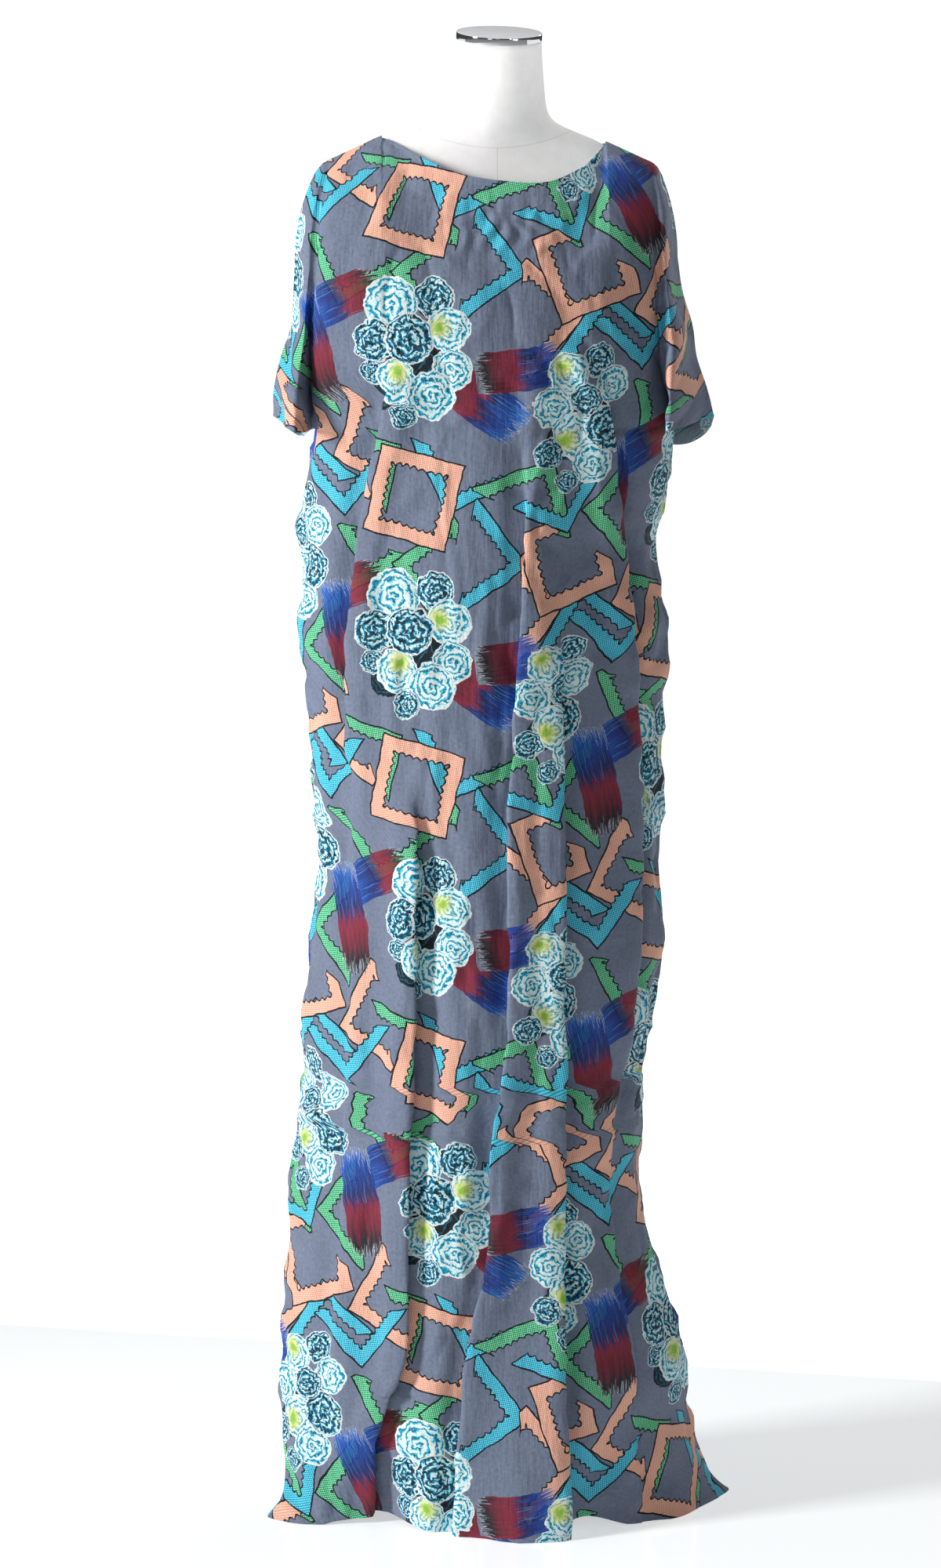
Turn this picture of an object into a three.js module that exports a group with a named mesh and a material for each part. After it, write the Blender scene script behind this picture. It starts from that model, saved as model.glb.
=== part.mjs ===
// A long loose bati dress, worn by a limbless dress form.
// Millimetres, +Z up, front towards -Y. The neck cap's centre is above x = 0 before the last shift.
import * as THREE from "three";

// Driving dimensions
const clothThickness = 1.6;
const seamGap = 0.3;
const underarmGap = 2.4;
const cuffHeight = 1290;
const chestHeight = 1485;
const neckTopHeight = 1738;
const capRadius = 49.2;
const capThickness = 8.6;
const capForwardTilt = THREE.MathUtils.degToRad(6);
const capSideTilt = THREE.MathUtils.degToRad(1.6);
const poleRadius = 16;
const baseRadius = 104;
const baseHeight = 8;
const hubRadius = 26;
const hubHeight = 30;
const formSides = 32;

const front = -1;
const back = 1;

// Turns rows of numbers into rows with named columns.
function table(names, rows) {
  return rows.map((row) => Object.fromEntries(names.map((name, index) => [name, row[index]])));
}

// Reads one column of a table at a height, on a smooth curve through its rows.
function read(rows, height, name) {
  const last = rows.length - 1;
  if (height <= rows[0].height) return rows[0][name];
  if (height >= rows[last].height) return rows[last][name];
  let row = 0;
  while (rows[row + 1].height < height) row += 1;
  const slope = (a, b) => (rows[b][name] - rows[a][name]) / (rows[b].height - rows[a].height);
  const step = rows[row + 1].height - rows[row].height;
  const startSlope = row > 0 ? slope(row - 1, row + 1) : slope(row, row + 1);
  const endSlope = row + 1 < last ? slope(row, row + 2) : slope(row, row + 1);
  const t = (height - rows[row].height) / step;
  const rise = t * t * (3 - 2 * t);
  return rows[row][name] * (1 - rise) + rows[row + 1][name] * rise
    + step * (startSlope * t * (1 - t) * (1 - t) - endSlope * t * t * (1 - t));
}

const mix = (a, b, t) => a + (b - a) * t;
const clamp = (value) => Math.min(1, Math.max(0, value));
const bell = (distance) => (1 + Math.cos(Math.PI * Math.min(1, Math.abs(distance)))) / 2;

// The form's torso and neck: centre, half width and depths of each level section.
// A pinch over 1 narrows the section towards its ends, as on a shoulder.
const formSections = table(
  ["height", "centreX", "centreY", "halfWidth", "frontDepth", "backDepth", "pinch"],
  [
    [930, -8, 0, 148, 98, 96, 1],
    [1000, -8, 0, 158, 106, 104, 1],
    [1075, -8, 0, 158, 104, 104, 1],
    [1160, -9, 0, 143, 94, 94, 1],
    [1240, -10, 0, 128, 88, 84, 1],
    [1320, -10, 0, 140, 100, 86, 1],
    [1395, -11, 0, 156, 110, 92, 1],
    [1450, -12, 0, 170, 104, 92, 1],
    [1500, -12, 0, 177, 92, 88, 1],
    [1540, -12, 0, 183, 79, 80, 1],
    [1570, -12, 0, 185, 66, 68, 1.05],
    [1588, -12, 0, 181, 54, 56, 1.15],
    [1600, -12, 0, 161, 49, 50, 1.25],
    [1612, -12, 0, 143, 45, 46, 1.4],
    [1624, -11, 0, 123, 45, 46, 1.45],
    [1633, -8, 1, 96, 48, 49, 1.35],
    [1643, -5, 2, 68, 53, 53, 1.1],
    [1656, -2, 2, 57, 54, 54, 1],
    [1675, 0, 0, 53, 51.5, 51.5, 1],
    [1705, 0, -4, 50.5, 50, 50, 1],
    [neckTopHeight, 0, -7, capRadius - 0.4, capRadius - 0.4, capRadius - 0.4, 1],
  ],
);

// The dress below the cuffs: reach to each side, depth before and behind, the side seams'
// place front to back, and how pointed the cloth is where it turns at the side seams.
const sections = table(
  ["height", "left", "right", "frontDepth", "backDepth", "leftSeamY", "rightSeamY", "point"],
  [
    [0, 274, 279, 140, 136, -72, 42, 1.3],
    [25, 256, 256, 139, 134, -60, 32, 1.3],
    [62, 250, 237, 137, 132, -48, 20, 1.35],
    [112, 254, 224, 135, 130, -36, 10, 1.35],
    [168, 260, 226, 133, 128, -24, 0, 1.35],
    [225, 258, 213, 131, 127, -15, -6, 1.35],
    [285, 251, 192, 130, 126, -9, -4, 1.35],
    [345, 243, 173, 129, 125, -4, 0, 1.35],
    [400, 251, 168, 128, 124, 0, 4, 1.35],
    [458, 237, 172, 127, 123, 4, 0, 1.35],
    [515, 232, 167, 127, 122, 0, -4, 1.35],
    [572, 229, 176, 126, 121, -3, -2, 1.35],
    [632, 223, 188, 126, 120, 0, 3, 1.35],
    [700, 218, 192, 125, 119, 3, 0, 1.35],
    [780, 216, 189, 125, 118, 0, -3, 1.35],
    [865, 217, 191, 124, 117, -3, 0, 1.35],
    [940, 216, 194, 124, 116, 0, 3, 1.35],
    [1000, 228, 195, 124, 115, 3, 0, 1.35],
    [1050, 230, 197, 124, 114, -3, -3, 1.35],
    [1104, 226, 189, 124, 113, -2, 3, 1.35],
    [1160, 235, 186, 123, 112, 3, 2, 1.35],
    [1200, 234, 196, 123, 111, 4, -2, 1.3],
    [1240, 218, 200, 122, 110, 1, -1, 1.2],
    [cuffHeight, 210, 203, 122, 109, 0, 0, 1.15],
  ],
);

// The sleeves, from the cuff row up to the chest. Each hangs as an open tube from the
// seam line over the arm, at outerX, to the valley beside the body, at valleyX and valleyY.
const sleeveNames = ["height", "outerHeight", "outerX", "valleyX", "valleyY", "bulge", "lean"];
const leftSleeve = table(sleeveNames, [
  [cuffHeight, 1305, -262, -210, 0, 88, 0],
  [1324, 1338, -260, -211, 22, 72, 0],
  [1362, 1374, -252, -211, 38, 52, 0],
  [1402, 1410, -240, -211, 48, 38, 0],
  [1443, 1450, -237, -211, 56, 26, 0],
  [chestHeight, 1490, -235, -209, 62, 18, 0],
]);
const rightSleeve = table(sleeveNames, [
  [cuffHeight, 1305, 250, 203, 0, 92, -32],
  [1324, 1338, 241, 194, 24, 80, -20],
  [1362, 1374, 229, 187, 40, 62, -9],
  [1402, 1410, 224, 183, 50, 46, -2],
  [1443, 1450, 212, 181, 56, 34, 0],
  [chestHeight, 1490, 206, 179, 60, 24, 0],
]);
const sleeveShares = [0, 0.1, 0.25, 0.42, 0.6, 0.76, 0.9, 1];
const valleyWidth = 4.5;
const backCuffDrop = 24;

// Depths of the cloth over the chest and shoulder blades, above the cuffs.
const chestSections = table(
  ["height", "frontDepth", "backDepth"],
  [
    [cuffHeight, 122, 109],
    [1360, 123, 108],
    [1420, 120, 106],
    [chestHeight, 108, 102],
  ],
);
const chestPoint = { left: 1.05, right: 1.3 };

// How far the body's left side swells beside its sleeve.
const sideSwell = table(["height", "swell"], [[1100, 0], [1240, 7], [cuffHeight, 11], [1360, 13], [chestHeight, 3]]);

// Where the rows above the chest lie, from the chest up to the shoulder seam and neckline.
const shoulderRows = [0.28, 0.52, 0.72, 0.88, 1];

// The shoulder seam's ends and the neckline's corners, from the cap's centre line.
const shoulderEnds = { left: -212, leftBody: -197, right: 187, rightBody: 174 };
const shoulderEndDrop = 8;
const shoulderRest = 1.7;
const shoulderEndHeight = 1591;
const neckCorners = { left: -135, right: 123 };

// The line of the shoulder seams, pulled nearly straight from the neck to the shoulder ends.
const shoulderLine = table(["height", "z"], [
  [-212, 1591], [-197, 1599], [-180, 1607], [-160, 1615.5], [-135, 1624.8],
  [123, 1618.3], [140, 1612.5], [158, 1605.5], [174, 1598.5], [187, 1591],
]);
const neckline = {
  [front]: table(["height", "y", "z"], [
    [-135, 0, 1626.5], [-124, -14, 1624], [-108, -33, 1616], [-86, -51, 1606], [-46, -69, 1590], [3, -77, 1582],
    [56, -76, 1581], [97, -52, 1597], [112, -27, 1609], [123, 0, 1620],
  ]),
  [back]: table(["height", "y", "z"], [
    [-135, 0, 1626.5], [-112, 28, 1620], [-85, 48, 1621], [-40, 63, 1626], [0, 66, 1627],
    [40, 63, 1625], [78, 47, 1619], [103, 27, 1616], [123, 0, 1620],
  ]),
};

// Paths of the main folds down each panel, as distances from the centre line.
const foldPaths = {
  [front]: table(["height", "a", "b", "c", "d", "e"], [
    [0, -205, -160, -50, 76, 170],
    [100, -200, -150, -45, 74, 165],
    [214, -196, -112, -34, 72, 158],
    [337, -188, -110, -10, 71, 136],
    [450, -182, -106, -7, 71, 132],
    [600, -176, -99, 14, 73, 150],
    [806, -172, -96, 15, 70, 160],
    [913, -172, -95, 17, 68, 156],
    [1050, -168, -92, 26, 68, 150],
    [1096, -164, -88, 29, 68, 146],
    [1216, -150, -80, 30, 69, 133],
    [1337, -126, -66, 29, 68, 125],
    [chestHeight, -130, -62, 22, 62, 122],
    [1600, -135, -60, 10, 52, 123],
  ]),
  [back]: table(["height", "a", "b", "c", "d"], [
    [0, -178, -60, 58, 178],
    [300, -150, -52, 48, 128],
    [700, -142, -46, 44, 128],
    [1100, -140, -44, 42, 130],
    [chestHeight, -132, -46, 40, 122],
    [1600, -135, -46, 38, 123],
  ]),
};

// Each fold starts at one height, is whole at the next, and may fade out further down.
// Its ridge lies to the left of its edge where ridge is 1, and to the right where it is -1.
const foldNames = ["path", "ridge", "start", "whole", "fade", "gone", "depth", "hemDepth", "width"];
const folds = {
  [front]: table(foldNames, [
    ["a", -1, 1400, 1290, 1000, 860, 15, 5, 20],
    ["b", 1, 900, 780, 0, -1, 17, 10, 21],
    ["c", -1, 1450, 1000, 0, -1, 13, 14, 17],
    ["d", 1, 1140, 940, 0, -1, 15, 20, 18],
    ["e", 1, 1430, 1200, 620, 480, 16, 6, 20],
  ]),
  [back]: table(foldNames, [
    ["a", 1, 1440, 1200, 0, -1, 14, 16, 20],
    ["b", -1, 1300, 1000, 0, -1, 12, 14, 20],
    ["c", 1, 1380, 1050, 0, -1, 13, 15, 20],
    ["d", -1, 1440, 1220, 0, -1, 14, 14, 20],
  ]),
};
const foldOverlap = 0.42;
const foldColumns = [-1, -0.5, -0.2, 0.2, 0.5, 1];
const cornerColumn = { left: -0.2, right: 0.2 };
const fillers = {
  [front]: [[0, 0.14, 0.4, 0.7], [0.5], [0.35, 0.7], [], [0.5], [0.35, 0.68, 0.9, 1]],
  [back]: [[0, 0.14, 0.4, 0.7], [0.35, 0.7], [0.35, 0.7], [0.35, 0.7], [0.3, 0.6, 0.86, 1]],
};

// Waves of the hem on the floor: a push outwards or inwards, and a lift clear of the floor.
const hemWaves = {
  [front]: table(["x", "width", "push", "lift", "reach"], [
    [28, 80, 38, 0, 340],
    [-148, 82, -44, 9, 210],
    [114, 50, -26, 8, 190],
    [205, 48, 12, 0, 130],
  ]),
  [back]: table(["x", "width", "push", "lift", "reach"], [
    [-120, 75, 18, 0, 260],
    [-10, 60, -18, 7, 220],
    [105, 70, 20, 0, 260],
  ]),
};

// A level section of the body, before folds, at a place from -1 at the left to 1 at the right.
function bodyOutline(side, height) {
  const above = height > cuffHeight;
  const depthName = side === front ? "frontDepth" : "backDepth";
  const depth = side * read(above ? chestSections : sections, height, depthName);
  const left = above ? -read(leftSleeve, height, "valleyX") : read(sections, height, "left");
  const right = above ? read(rightSleeve, height, "valleyX") : read(sections, height, "right");
  const leftY = above ? side * read(leftSleeve, height, "valleyY") : read(sections, height, "leftSeamY");
  const rightY = above ? side * read(rightSleeve, height, "valleyY") : read(sections, height, "rightSeamY");
  const point = (place) => (above ? chestPoint[place < 0 ? "left" : "right"] : read(sections, height, "point"));
  const swell = read(sideSwell, height, "swell");
  const gap = side * (height === cuffHeight ? underarmGap : seamGap) / 2;
  return {
    width: (place) => (place < 0 ? left : right),
    at(place) {
      const angle = clamp(Math.abs(place)) * Math.PI / 2;
      const seamY = (place < 0 ? leftY : rightY) + gap;
      const swelling = place < 0 ? swell * bell((Math.abs(place) - 0.75) / 0.25) : 0;
      return [
        (place < 0 ? -left : right) * Math.sin(angle) - swelling,
        mix(seamY, depth, Math.pow(Math.max(0, Math.cos(angle)), point(place))),
      ];
    },
  };
}

// How far a fold has opened at a height.
function foldDepth(fold, height) {
  const opened = clamp((fold.start - height) / (fold.start - fold.whole));
  const faded = clamp((fold.fade - height) / (fold.fade - fold.gone));
  const ease = (t) => t * t * (3 - 2 * t);
  const full = mix(fold.depth, fold.hemDepth, clamp(1 - height / 700));
  return ease(opened) * mix(full, fold.hemDepth, ease(faded));
}

// The places of the folds on a level section, with their half widths in the same measure.
function foldPlaces(side, height, outline) {
  return folds[side].map((fold) => {
    const x = read(foldPaths[side], height, fold.path);
    const place = Math.asin(x / outline.width(x)) * 2 / Math.PI;
    const before = outline.at(place - 0.01);
    const after = outline.at(place + 0.01);
    const speed = Math.hypot(after[0] - before[0], after[1] - before[1]) / 0.02;
    return { place, half: fold.width / speed };
  });
}

// The columns of a panel's body at a height, as places on its level section.
function columnPlaces(side, places) {
  const columns = [];
  fillers[side].forEach((shares, index) => {
    const start = index > 0 ? places[index - 1].place + places[index - 1].half : -1;
    const end = index < places.length ? places[index].place - places[index].half : 1;
    for (const share of shares) columns.push(mix(start, end, share));
    if (index < places.length) {
      const { place, half } = places[index];
      for (const column of foldColumns) columns.push(place + column * half);
    }
  });
  return columns;
}

// A point of the body at a height, with its folds and hem waves.
function bodyPoint(side, height, place, outline, places) {
  const [x, y] = outline.at(place);
  const before = outline.at(Math.max(-1, place - 0.01));
  const after = outline.at(Math.min(1, place + 0.01));
  const tangent = new THREE.Vector2(after[0] - before[0], after[1] - before[1]).normalize();
  const outward = new THREE.Vector2(-side * tangent.y, side * tangent.x);
  const ends = clamp((1 - Math.abs(place)) / 0.12);
  let along = 0;
  let out = 0;
  folds[side].forEach((fold, index) => {
    const t = (place - places[index].place) / places[index].half;
    const depth = foldDepth(fold, height);
    const hump = (t / 0.7) * Math.exp(0.5 - 0.5 * (t / 0.7) ** 2) / 2;
    out -= fold.ridge * depth * hump * ends;
    const overlap = foldOverlap * clamp((depth - 4) / 9);
    if (Math.abs(t) < 1) along -= fold.width * overlap * Math.sin(Math.PI * t);
  });
  let lift = 0;
  for (const wave of hemWaves[side]) {
    const share = bell((x - wave.x) / wave.width) * clamp(1 - height / wave.reach) ** 2;
    out += wave.push * share * ends;
    lift += wave.lift * share * ends;
  }
  return new THREE.Vector3(x + tangent.x * along + outward.x * out, y + tangent.y * along + outward.y * out, height + lift);
}

// A point of a sleeve, by its share of the way from the outer seam line to the valley.
function sleevePoint(side, rows, height, share) {
  const outerX = read(rows, height, "outerX");
  const valleyX = read(rows, height, "valleyX") + Math.sign(outerX) * valleyWidth;
  const outerHeight = read(rows, height, "outerHeight");
  const swell = Math.sin(Math.PI * Math.pow(share, 1.3));
  const drop = side === back ? backCuffDrop * swell * clamp((chestHeight - height) / (chestHeight - cuffHeight)) ** 3 : 0;
  const gap = mix(seamGap, height === cuffHeight ? underarmGap : seamGap, share) / 2;
  return new THREE.Vector3(
    mix(outerX, valleyX, share) + read(rows, height, "lean") * swell,
    side * (gap + mix(0, read(rows, height, "valleyY"), share) + read(rows, height, "bulge") * swell),
    mix(outerHeight, height, share) - drop,
  );
}

// The point where a column meets the shoulder seam or the neckline.
function topPoint(side, x) {
  if (x > neckCorners.left && x < neckCorners.right) {
    const y = read(neckline[side], x, "y") + side * seamGap / 2;
    return new THREE.Vector3(x, y, read(neckline[side], x, "z"));
  }
  return new THREE.Vector3(x, side * seamGap / 2, read(shoulderLine, x, "z") + shoulderRest);
}

// Carries a column from the chest over the shoulder, or straight up to the neckline.
function overShoulder(start, top, share) {
  const turn = share * Math.PI / 2;
  const roundness = clamp(1 - Math.abs(top.y) / 60);
  const rise = mix(share, Math.sin(turn), roundness);
  const reach = mix(1 - share, Math.cos(turn) ** 1.5, roundness);
  return new THREE.Vector3(
    mix(top.x, start.x, Math.cos(turn) ** 2),
    mix(top.y, start.y, reach),
    mix(start.z, top.z, rise),
  );
}

// Rows of points for one panel. Columns of the sleeves are only there from the cuff row up.
function panelGrid(side) {
  const rows = [];
  const lowHeights = sections.map((row) => row.height);
  const highHeights = leftSleeve.slice(1).map((row) => row.height);
  const inner = sleeveShares.slice().reverse();
  for (const height of [...lowHeights, ...highHeights]) {
    const outline = bodyOutline(side, height);
    const places = foldPlaces(side, height, outline);
    const body = columnPlaces(side, places).map((place) => bodyPoint(side, height, place, outline, places));
    const sleeves = height >= cuffHeight;
    rows.push([
      ...sleeveShares.map((share) => (sleeves ? sleevePoint(side, leftSleeve, height, share) : null)),
      ...body,
      ...inner.map((share) => (sleeves ? sleevePoint(side, rightSleeve, height, share) : null)),
    ]);
  }
  const chest = rows[rows.length - 1];
  const tops = topRow(side, chest.length);
  for (const share of shoulderRows) {
    rows.push(chest.map((point, index) => overShoulder(point, tops[index], share)));
  }
  return rows;
}

// The top row of a panel: shoulder seam, neckline, shoulder seam.
function topRow(side, count) {
  const outline = {
    width: (x) => (x < 0 ? -shoulderEnds.leftBody : shoulderEnds.rightBody),
    at(place) {
      return [Math.sin(place * Math.PI / 2) * this.width(place), 0];
    },
  };
  const places = foldPlaces(side, shoulderEndHeight, outline).map(({ place, half }) => ({ place, half: half * 0.7 }));
  const xs = columnPlaces(side, places).map((place) => outline.at(place)[0]);
  const corners = {
    left: fillers[side][0].length + foldColumns.indexOf(cornerColumn.left),
    right: xs.length - fillers[side][places.length].length - foldColumns.length
      + foldColumns.indexOf(cornerColumn.right),
  };
  const shifts = {
    left: neckCorners.left - xs[corners.left],
    right: neckCorners.right - xs[corners.right],
  };
  const moved = xs.map((x, index) => {
    const spanLeft = index <= corners.left ? index / corners.left : 1 - (index - corners.left) / 8;
    const fromRight = xs.length - 1 - index;
    const rightCorner = xs.length - 1 - corners.right;
    const spanRight = fromRight <= rightCorner ? fromRight / rightCorner : 1 - (fromRight - rightCorner) / 8;
    return x + shifts.left * clamp(spanLeft) + shifts.right * clamp(spanRight);
  });
  const sleeveTops = (end, bodyEnd) => sleeveShares.map((share) => {
    const top = topPoint(side, mix(end, bodyEnd, share * 0.93));
    top.z -= shoulderEndDrop * (1 - share) ** 2;
    return top;
  });
  const all = [
    ...sleeveTops(shoulderEnds.left, shoulderEnds.leftBody),
    ...moved.map((x) => topPoint(side, x)),
    ...sleeveTops(shoulderEnds.right, shoulderEnds.rightBody).reverse(),
  ];
  if (all.length !== count) throw new Error("the top row has another number of columns");
  return all;
}

// Outward steps from the points of a panel to half its thickness. Along a seam they lie
// square to the seam and to Y, so that the two panels' edges meet face to face.
function panelSteps(side, rows, cell) {
  const cuffRow = sections.length - 1;
  const topRowIndex = rows.length - 1;
  const firstBody = sleeveShares.length;
  const lastColumn = rows[0].length - 1;
  const lastBody = lastColumn - sleeveShares.length;
  const faceNormal = (row, column) => {
    const a = new THREE.Vector3().subVectors(rows[row + 1][column + 1], rows[row][column]);
    const b = new THREE.Vector3().subVectors(rows[row + 1][column], rows[row][column + 1]);
    return a.cross(b).multiplyScalar(-side).normalize();
  };
  return rows.map((line, row) => line.map((here, column) => {
    if (!here) return null;
    const bodySeam = row < cuffRow && (column === firstBody || column === lastBody);
    const sleeveSeam = row >= cuffRow && (column === 0 || column === lastColumn);
    const onNeckline = here.x > neckCorners.left + 0.01 && here.x < neckCorners.right - 0.01;
    const shoulderSeam = row === topRowIndex && !onNeckline;
    const around = [[row, column], [row - 1, column], [row, column - 1], [row - 1, column - 1]]
      .filter(([r, c]) => cell(r, c)).map(([r, c]) => faceNormal(r, c));
    const step = around.reduce((sum, normal) => sum.add(normal), new THREE.Vector3()).normalize();
    const bend = Math.max(0.7, Math.min(...around.map((normal) => normal.dot(step))));
    if (bodySeam || sleeveSeam) {
      const low = row === 0 || (sleeveSeam && row === cuffRow) ? here : rows[row - 1][column];
      const high = row === topRowIndex ? here : rows[row + 1][column];
      const outside = column <= firstBody ? -1 : 1;
      step.set((high.z - low.z) * outside, 0, (low.x - high.x) * outside).normalize();
      if (shoulderSeam) step.add(new THREE.Vector3(0, 0, 1)).normalize();
    } else if (shoulderSeam) {
      const across = new THREE.Vector3().subVectors(line[column + 1], line[column - 1]);
      step.set(-across.z, 0, across.x).normalize();
    } else {
      step.divideScalar(bend);
    }
    if (row === 0) step.setZ(0).normalize();
    return step.multiplyScalar(clothThickness / 2);
  }));
}

// Gives a grid of points a thickness and closes its edges.
function wall(side, rows) {
  const columns = rows[0].length;
  const filled = (row, column) => row >= 0 && column >= 0 && row < rows.length && column < columns
    && rows[row][column] !== null;
  const cell = (row, column) => filled(row, column) && filled(row, column + 1)
    && filled(row + 1, column) && filled(row + 1, column + 1);
  const steps = panelSteps(side, rows, cell);
  const places = [];
  const index = rows.map((line, row) => line.map((point, column) => {
    if (!point) return -1;
    places.push(point.clone().add(steps[row][column]), point.clone().sub(steps[row][column]));
    return places.length - 2;
  }));
  const triangles = [];
  const quad = (a, b, c, d) => {
    if (side === front) triangles.push(a, b, c, a, c, d);
    else triangles.push(a, c, b, a, d, c);
  };
  for (let row = 0; row < rows.length - 1; row += 1) {
    for (let column = 0; column < columns - 1; column += 1) {
      if (!cell(row, column)) continue;
      const a = index[row][column];
      const b = index[row][column + 1];
      const c = index[row + 1][column + 1];
      const d = index[row + 1][column];
      quad(a, b, c, d);
      quad(a + 1, d + 1, c + 1, b + 1);
      if (!cell(row - 1, column)) quad(a + 1, b + 1, b, a);
      if (!cell(row + 1, column)) quad(c + 1, d + 1, d, c);
      if (!cell(row, column - 1)) quad(d + 1, a + 1, a, d);
      if (!cell(row, column + 1)) quad(b + 1, c + 1, c, b);
    }
  }
  return solid(places, triangles);
}

function solid(places, triangles) {
  const geometry = new THREE.BufferGeometry();
  const numbers = places.flatMap((place) => [place.x, place.y, place.z]);
  geometry.setAttribute("position", new THREE.Float32BufferAttribute(numbers, 3));
  geometry.setIndex(triangles);
  return geometry;
}

// The torso and neck, lofted through the form's sections and closed at both ends.
function formGeometry() {
  const places = [];
  const triangles = [];
  for (const row of formSections) {
    const tilt = clamp((row.height - 1690) / (neckTopHeight - 1690));
    for (let step = 0; step < formSides; step += 1) {
      const angle = step / formSides * Math.PI * 2;
      const cosine = Math.cos(angle);
      const sine = Math.sin(angle);
      const depth = sine < 0 ? row.frontDepth : row.backDepth;
      const x = row.centreX + row.halfWidth * Math.sign(cosine) * Math.abs(cosine) ** row.pinch;
      const offset = depth * Math.sign(sine) * Math.abs(sine) ** row.pinch;
      const lean = offset * Math.tan(capForwardTilt) - x * Math.tan(capSideTilt);
      places.push(new THREE.Vector3(x, row.centreY + offset, row.height + lean * tilt));
    }
  }
  const rings = formSections.length;
  for (let ring = 0; ring < rings - 1; ring += 1) {
    for (let step = 0; step < formSides; step += 1) {
      const next = (step + 1) % formSides;
      const a = ring * formSides + step;
      const b = ring * formSides + next;
      triangles.push(a, b, b + formSides, a, b + formSides, a + formSides);
    }
  }
  const bottom = formSections[0];
  const top = formSections[rings - 1];
  places.push(new THREE.Vector3(bottom.centreX, bottom.centreY, bottom.height));
  places.push(new THREE.Vector3(top.centreX, top.centreY, top.height));
  const topStart = (rings - 1) * formSides;
  for (let step = 0; step < formSides; step += 1) {
    const next = (step + 1) % formSides;
    triangles.push(places.length - 2, next, step);
    triangles.push(places.length - 1, topStart + step, topStart + next);
  }
  return solid(places, triangles);
}

// A turned piece standing on its own origin, from a profile of radius and height.
function turned(profile, sides) {
  const points = profile.map(([radius, height]) => new THREE.Vector2(radius, height));
  return new THREE.LatheGeometry(points, sides).rotateX(Math.PI / 2);
}

const cloth = { roughness: 0.85, metalness: 0 };
const materials = {
  front: new THREE.MeshStandardMaterial({ color: "#6e707f", side: THREE.DoubleSide, ...cloth }),
  back: new THREE.MeshStandardMaterial({ color: "#6a6c7b", side: THREE.DoubleSide, ...cloth }),
  form: new THREE.MeshStandardMaterial({ color: "#e6e6e4", roughness: 0.8, metalness: 0 }),
  chrome: new THREE.MeshStandardMaterial({ color: "#d8dadd", roughness: 0.12, metalness: 1 }),
  stand: new THREE.MeshStandardMaterial({ color: "#c9cbce", roughness: 0.3, metalness: 1 }),
};

function piece(name, geometry, material) {
  const mesh = new THREE.Mesh(geometry, material);
  mesh.name = name;
  return mesh;
}

const dress = new THREE.Group();
dress.add(piece("front", wall(front, panelGrid(front)), materials.front));
dress.add(piece("back", wall(back, panelGrid(back)), materials.back));
dress.add(piece("form_torso", formGeometry(), materials.form));

const bevel = 0.8;
const cap = piece("neck_cap", turned([
  [0, 0], [capRadius - bevel, 0], [capRadius, bevel], [capRadius, capThickness - bevel],
  [capRadius - bevel, capThickness], [0, capThickness],
], 40), materials.chrome);
const capAxis = new THREE.Vector3(Math.tan(capSideTilt), -Math.tan(capForwardTilt), 1).normalize();
cap.quaternion.setFromUnitVectors(new THREE.Vector3(0, 0, 1), capAxis);
cap.position.set(0, formSections[formSections.length - 1].centreY, neckTopHeight);
cap.position.addScaledVector(capAxis, seamGap);
dress.add(cap);

const poleBottom = hubHeight + seamGap;
const poleTop = formSections[0].height - seamGap;
const pole = piece("pole", turned([
  [0, 0], [poleRadius, 0], [poleRadius, poleTop - poleBottom], [0, poleTop - poleBottom],
], 24), materials.stand);
pole.position.z = poleBottom;
dress.add(pole);

dress.add(piece("base", turned([
  [0, 0], [baseRadius - 2, 0], [baseRadius, 2], [baseRadius, baseHeight - 2], [baseRadius - 2, baseHeight],
  [hubRadius + 4, baseHeight], [hubRadius, baseHeight + 4], [hubRadius, hubHeight], [0, hubHeight],
], 36), materials.stand));

// The part's origin is under the middle of its outline.
const outlineBox = new THREE.Box3().setFromObject(dress);
const middle = outlineBox.getCenter(new THREE.Vector3());
const bati = new THREE.Group();
dress.position.set(-middle.x, -middle.y, 0);
bati.add(dress);

export default bati;
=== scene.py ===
# A long printed bati dress on a linen-covered dress form, in a plain bright studio.
import bpy
import math
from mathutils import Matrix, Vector, noise


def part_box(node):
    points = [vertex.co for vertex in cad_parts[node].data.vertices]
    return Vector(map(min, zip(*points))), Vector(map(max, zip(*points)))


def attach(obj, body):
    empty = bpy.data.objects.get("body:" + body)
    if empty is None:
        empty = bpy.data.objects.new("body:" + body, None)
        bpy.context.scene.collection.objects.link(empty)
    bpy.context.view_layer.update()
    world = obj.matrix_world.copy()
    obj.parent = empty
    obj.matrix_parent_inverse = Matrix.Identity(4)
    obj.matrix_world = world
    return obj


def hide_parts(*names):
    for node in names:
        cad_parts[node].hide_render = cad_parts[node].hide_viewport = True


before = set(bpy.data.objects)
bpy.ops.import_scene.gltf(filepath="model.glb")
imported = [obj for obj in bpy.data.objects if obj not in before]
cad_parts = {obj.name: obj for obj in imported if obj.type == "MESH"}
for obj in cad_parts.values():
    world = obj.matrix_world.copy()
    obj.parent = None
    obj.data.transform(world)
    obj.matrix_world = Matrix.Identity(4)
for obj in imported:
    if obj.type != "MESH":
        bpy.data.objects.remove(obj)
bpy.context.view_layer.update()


# Stand
# A round foot plate with a short hub carries a steel tube. Both are spun and welded steel
# with a satin finish, and the skirt hides them.

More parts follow.
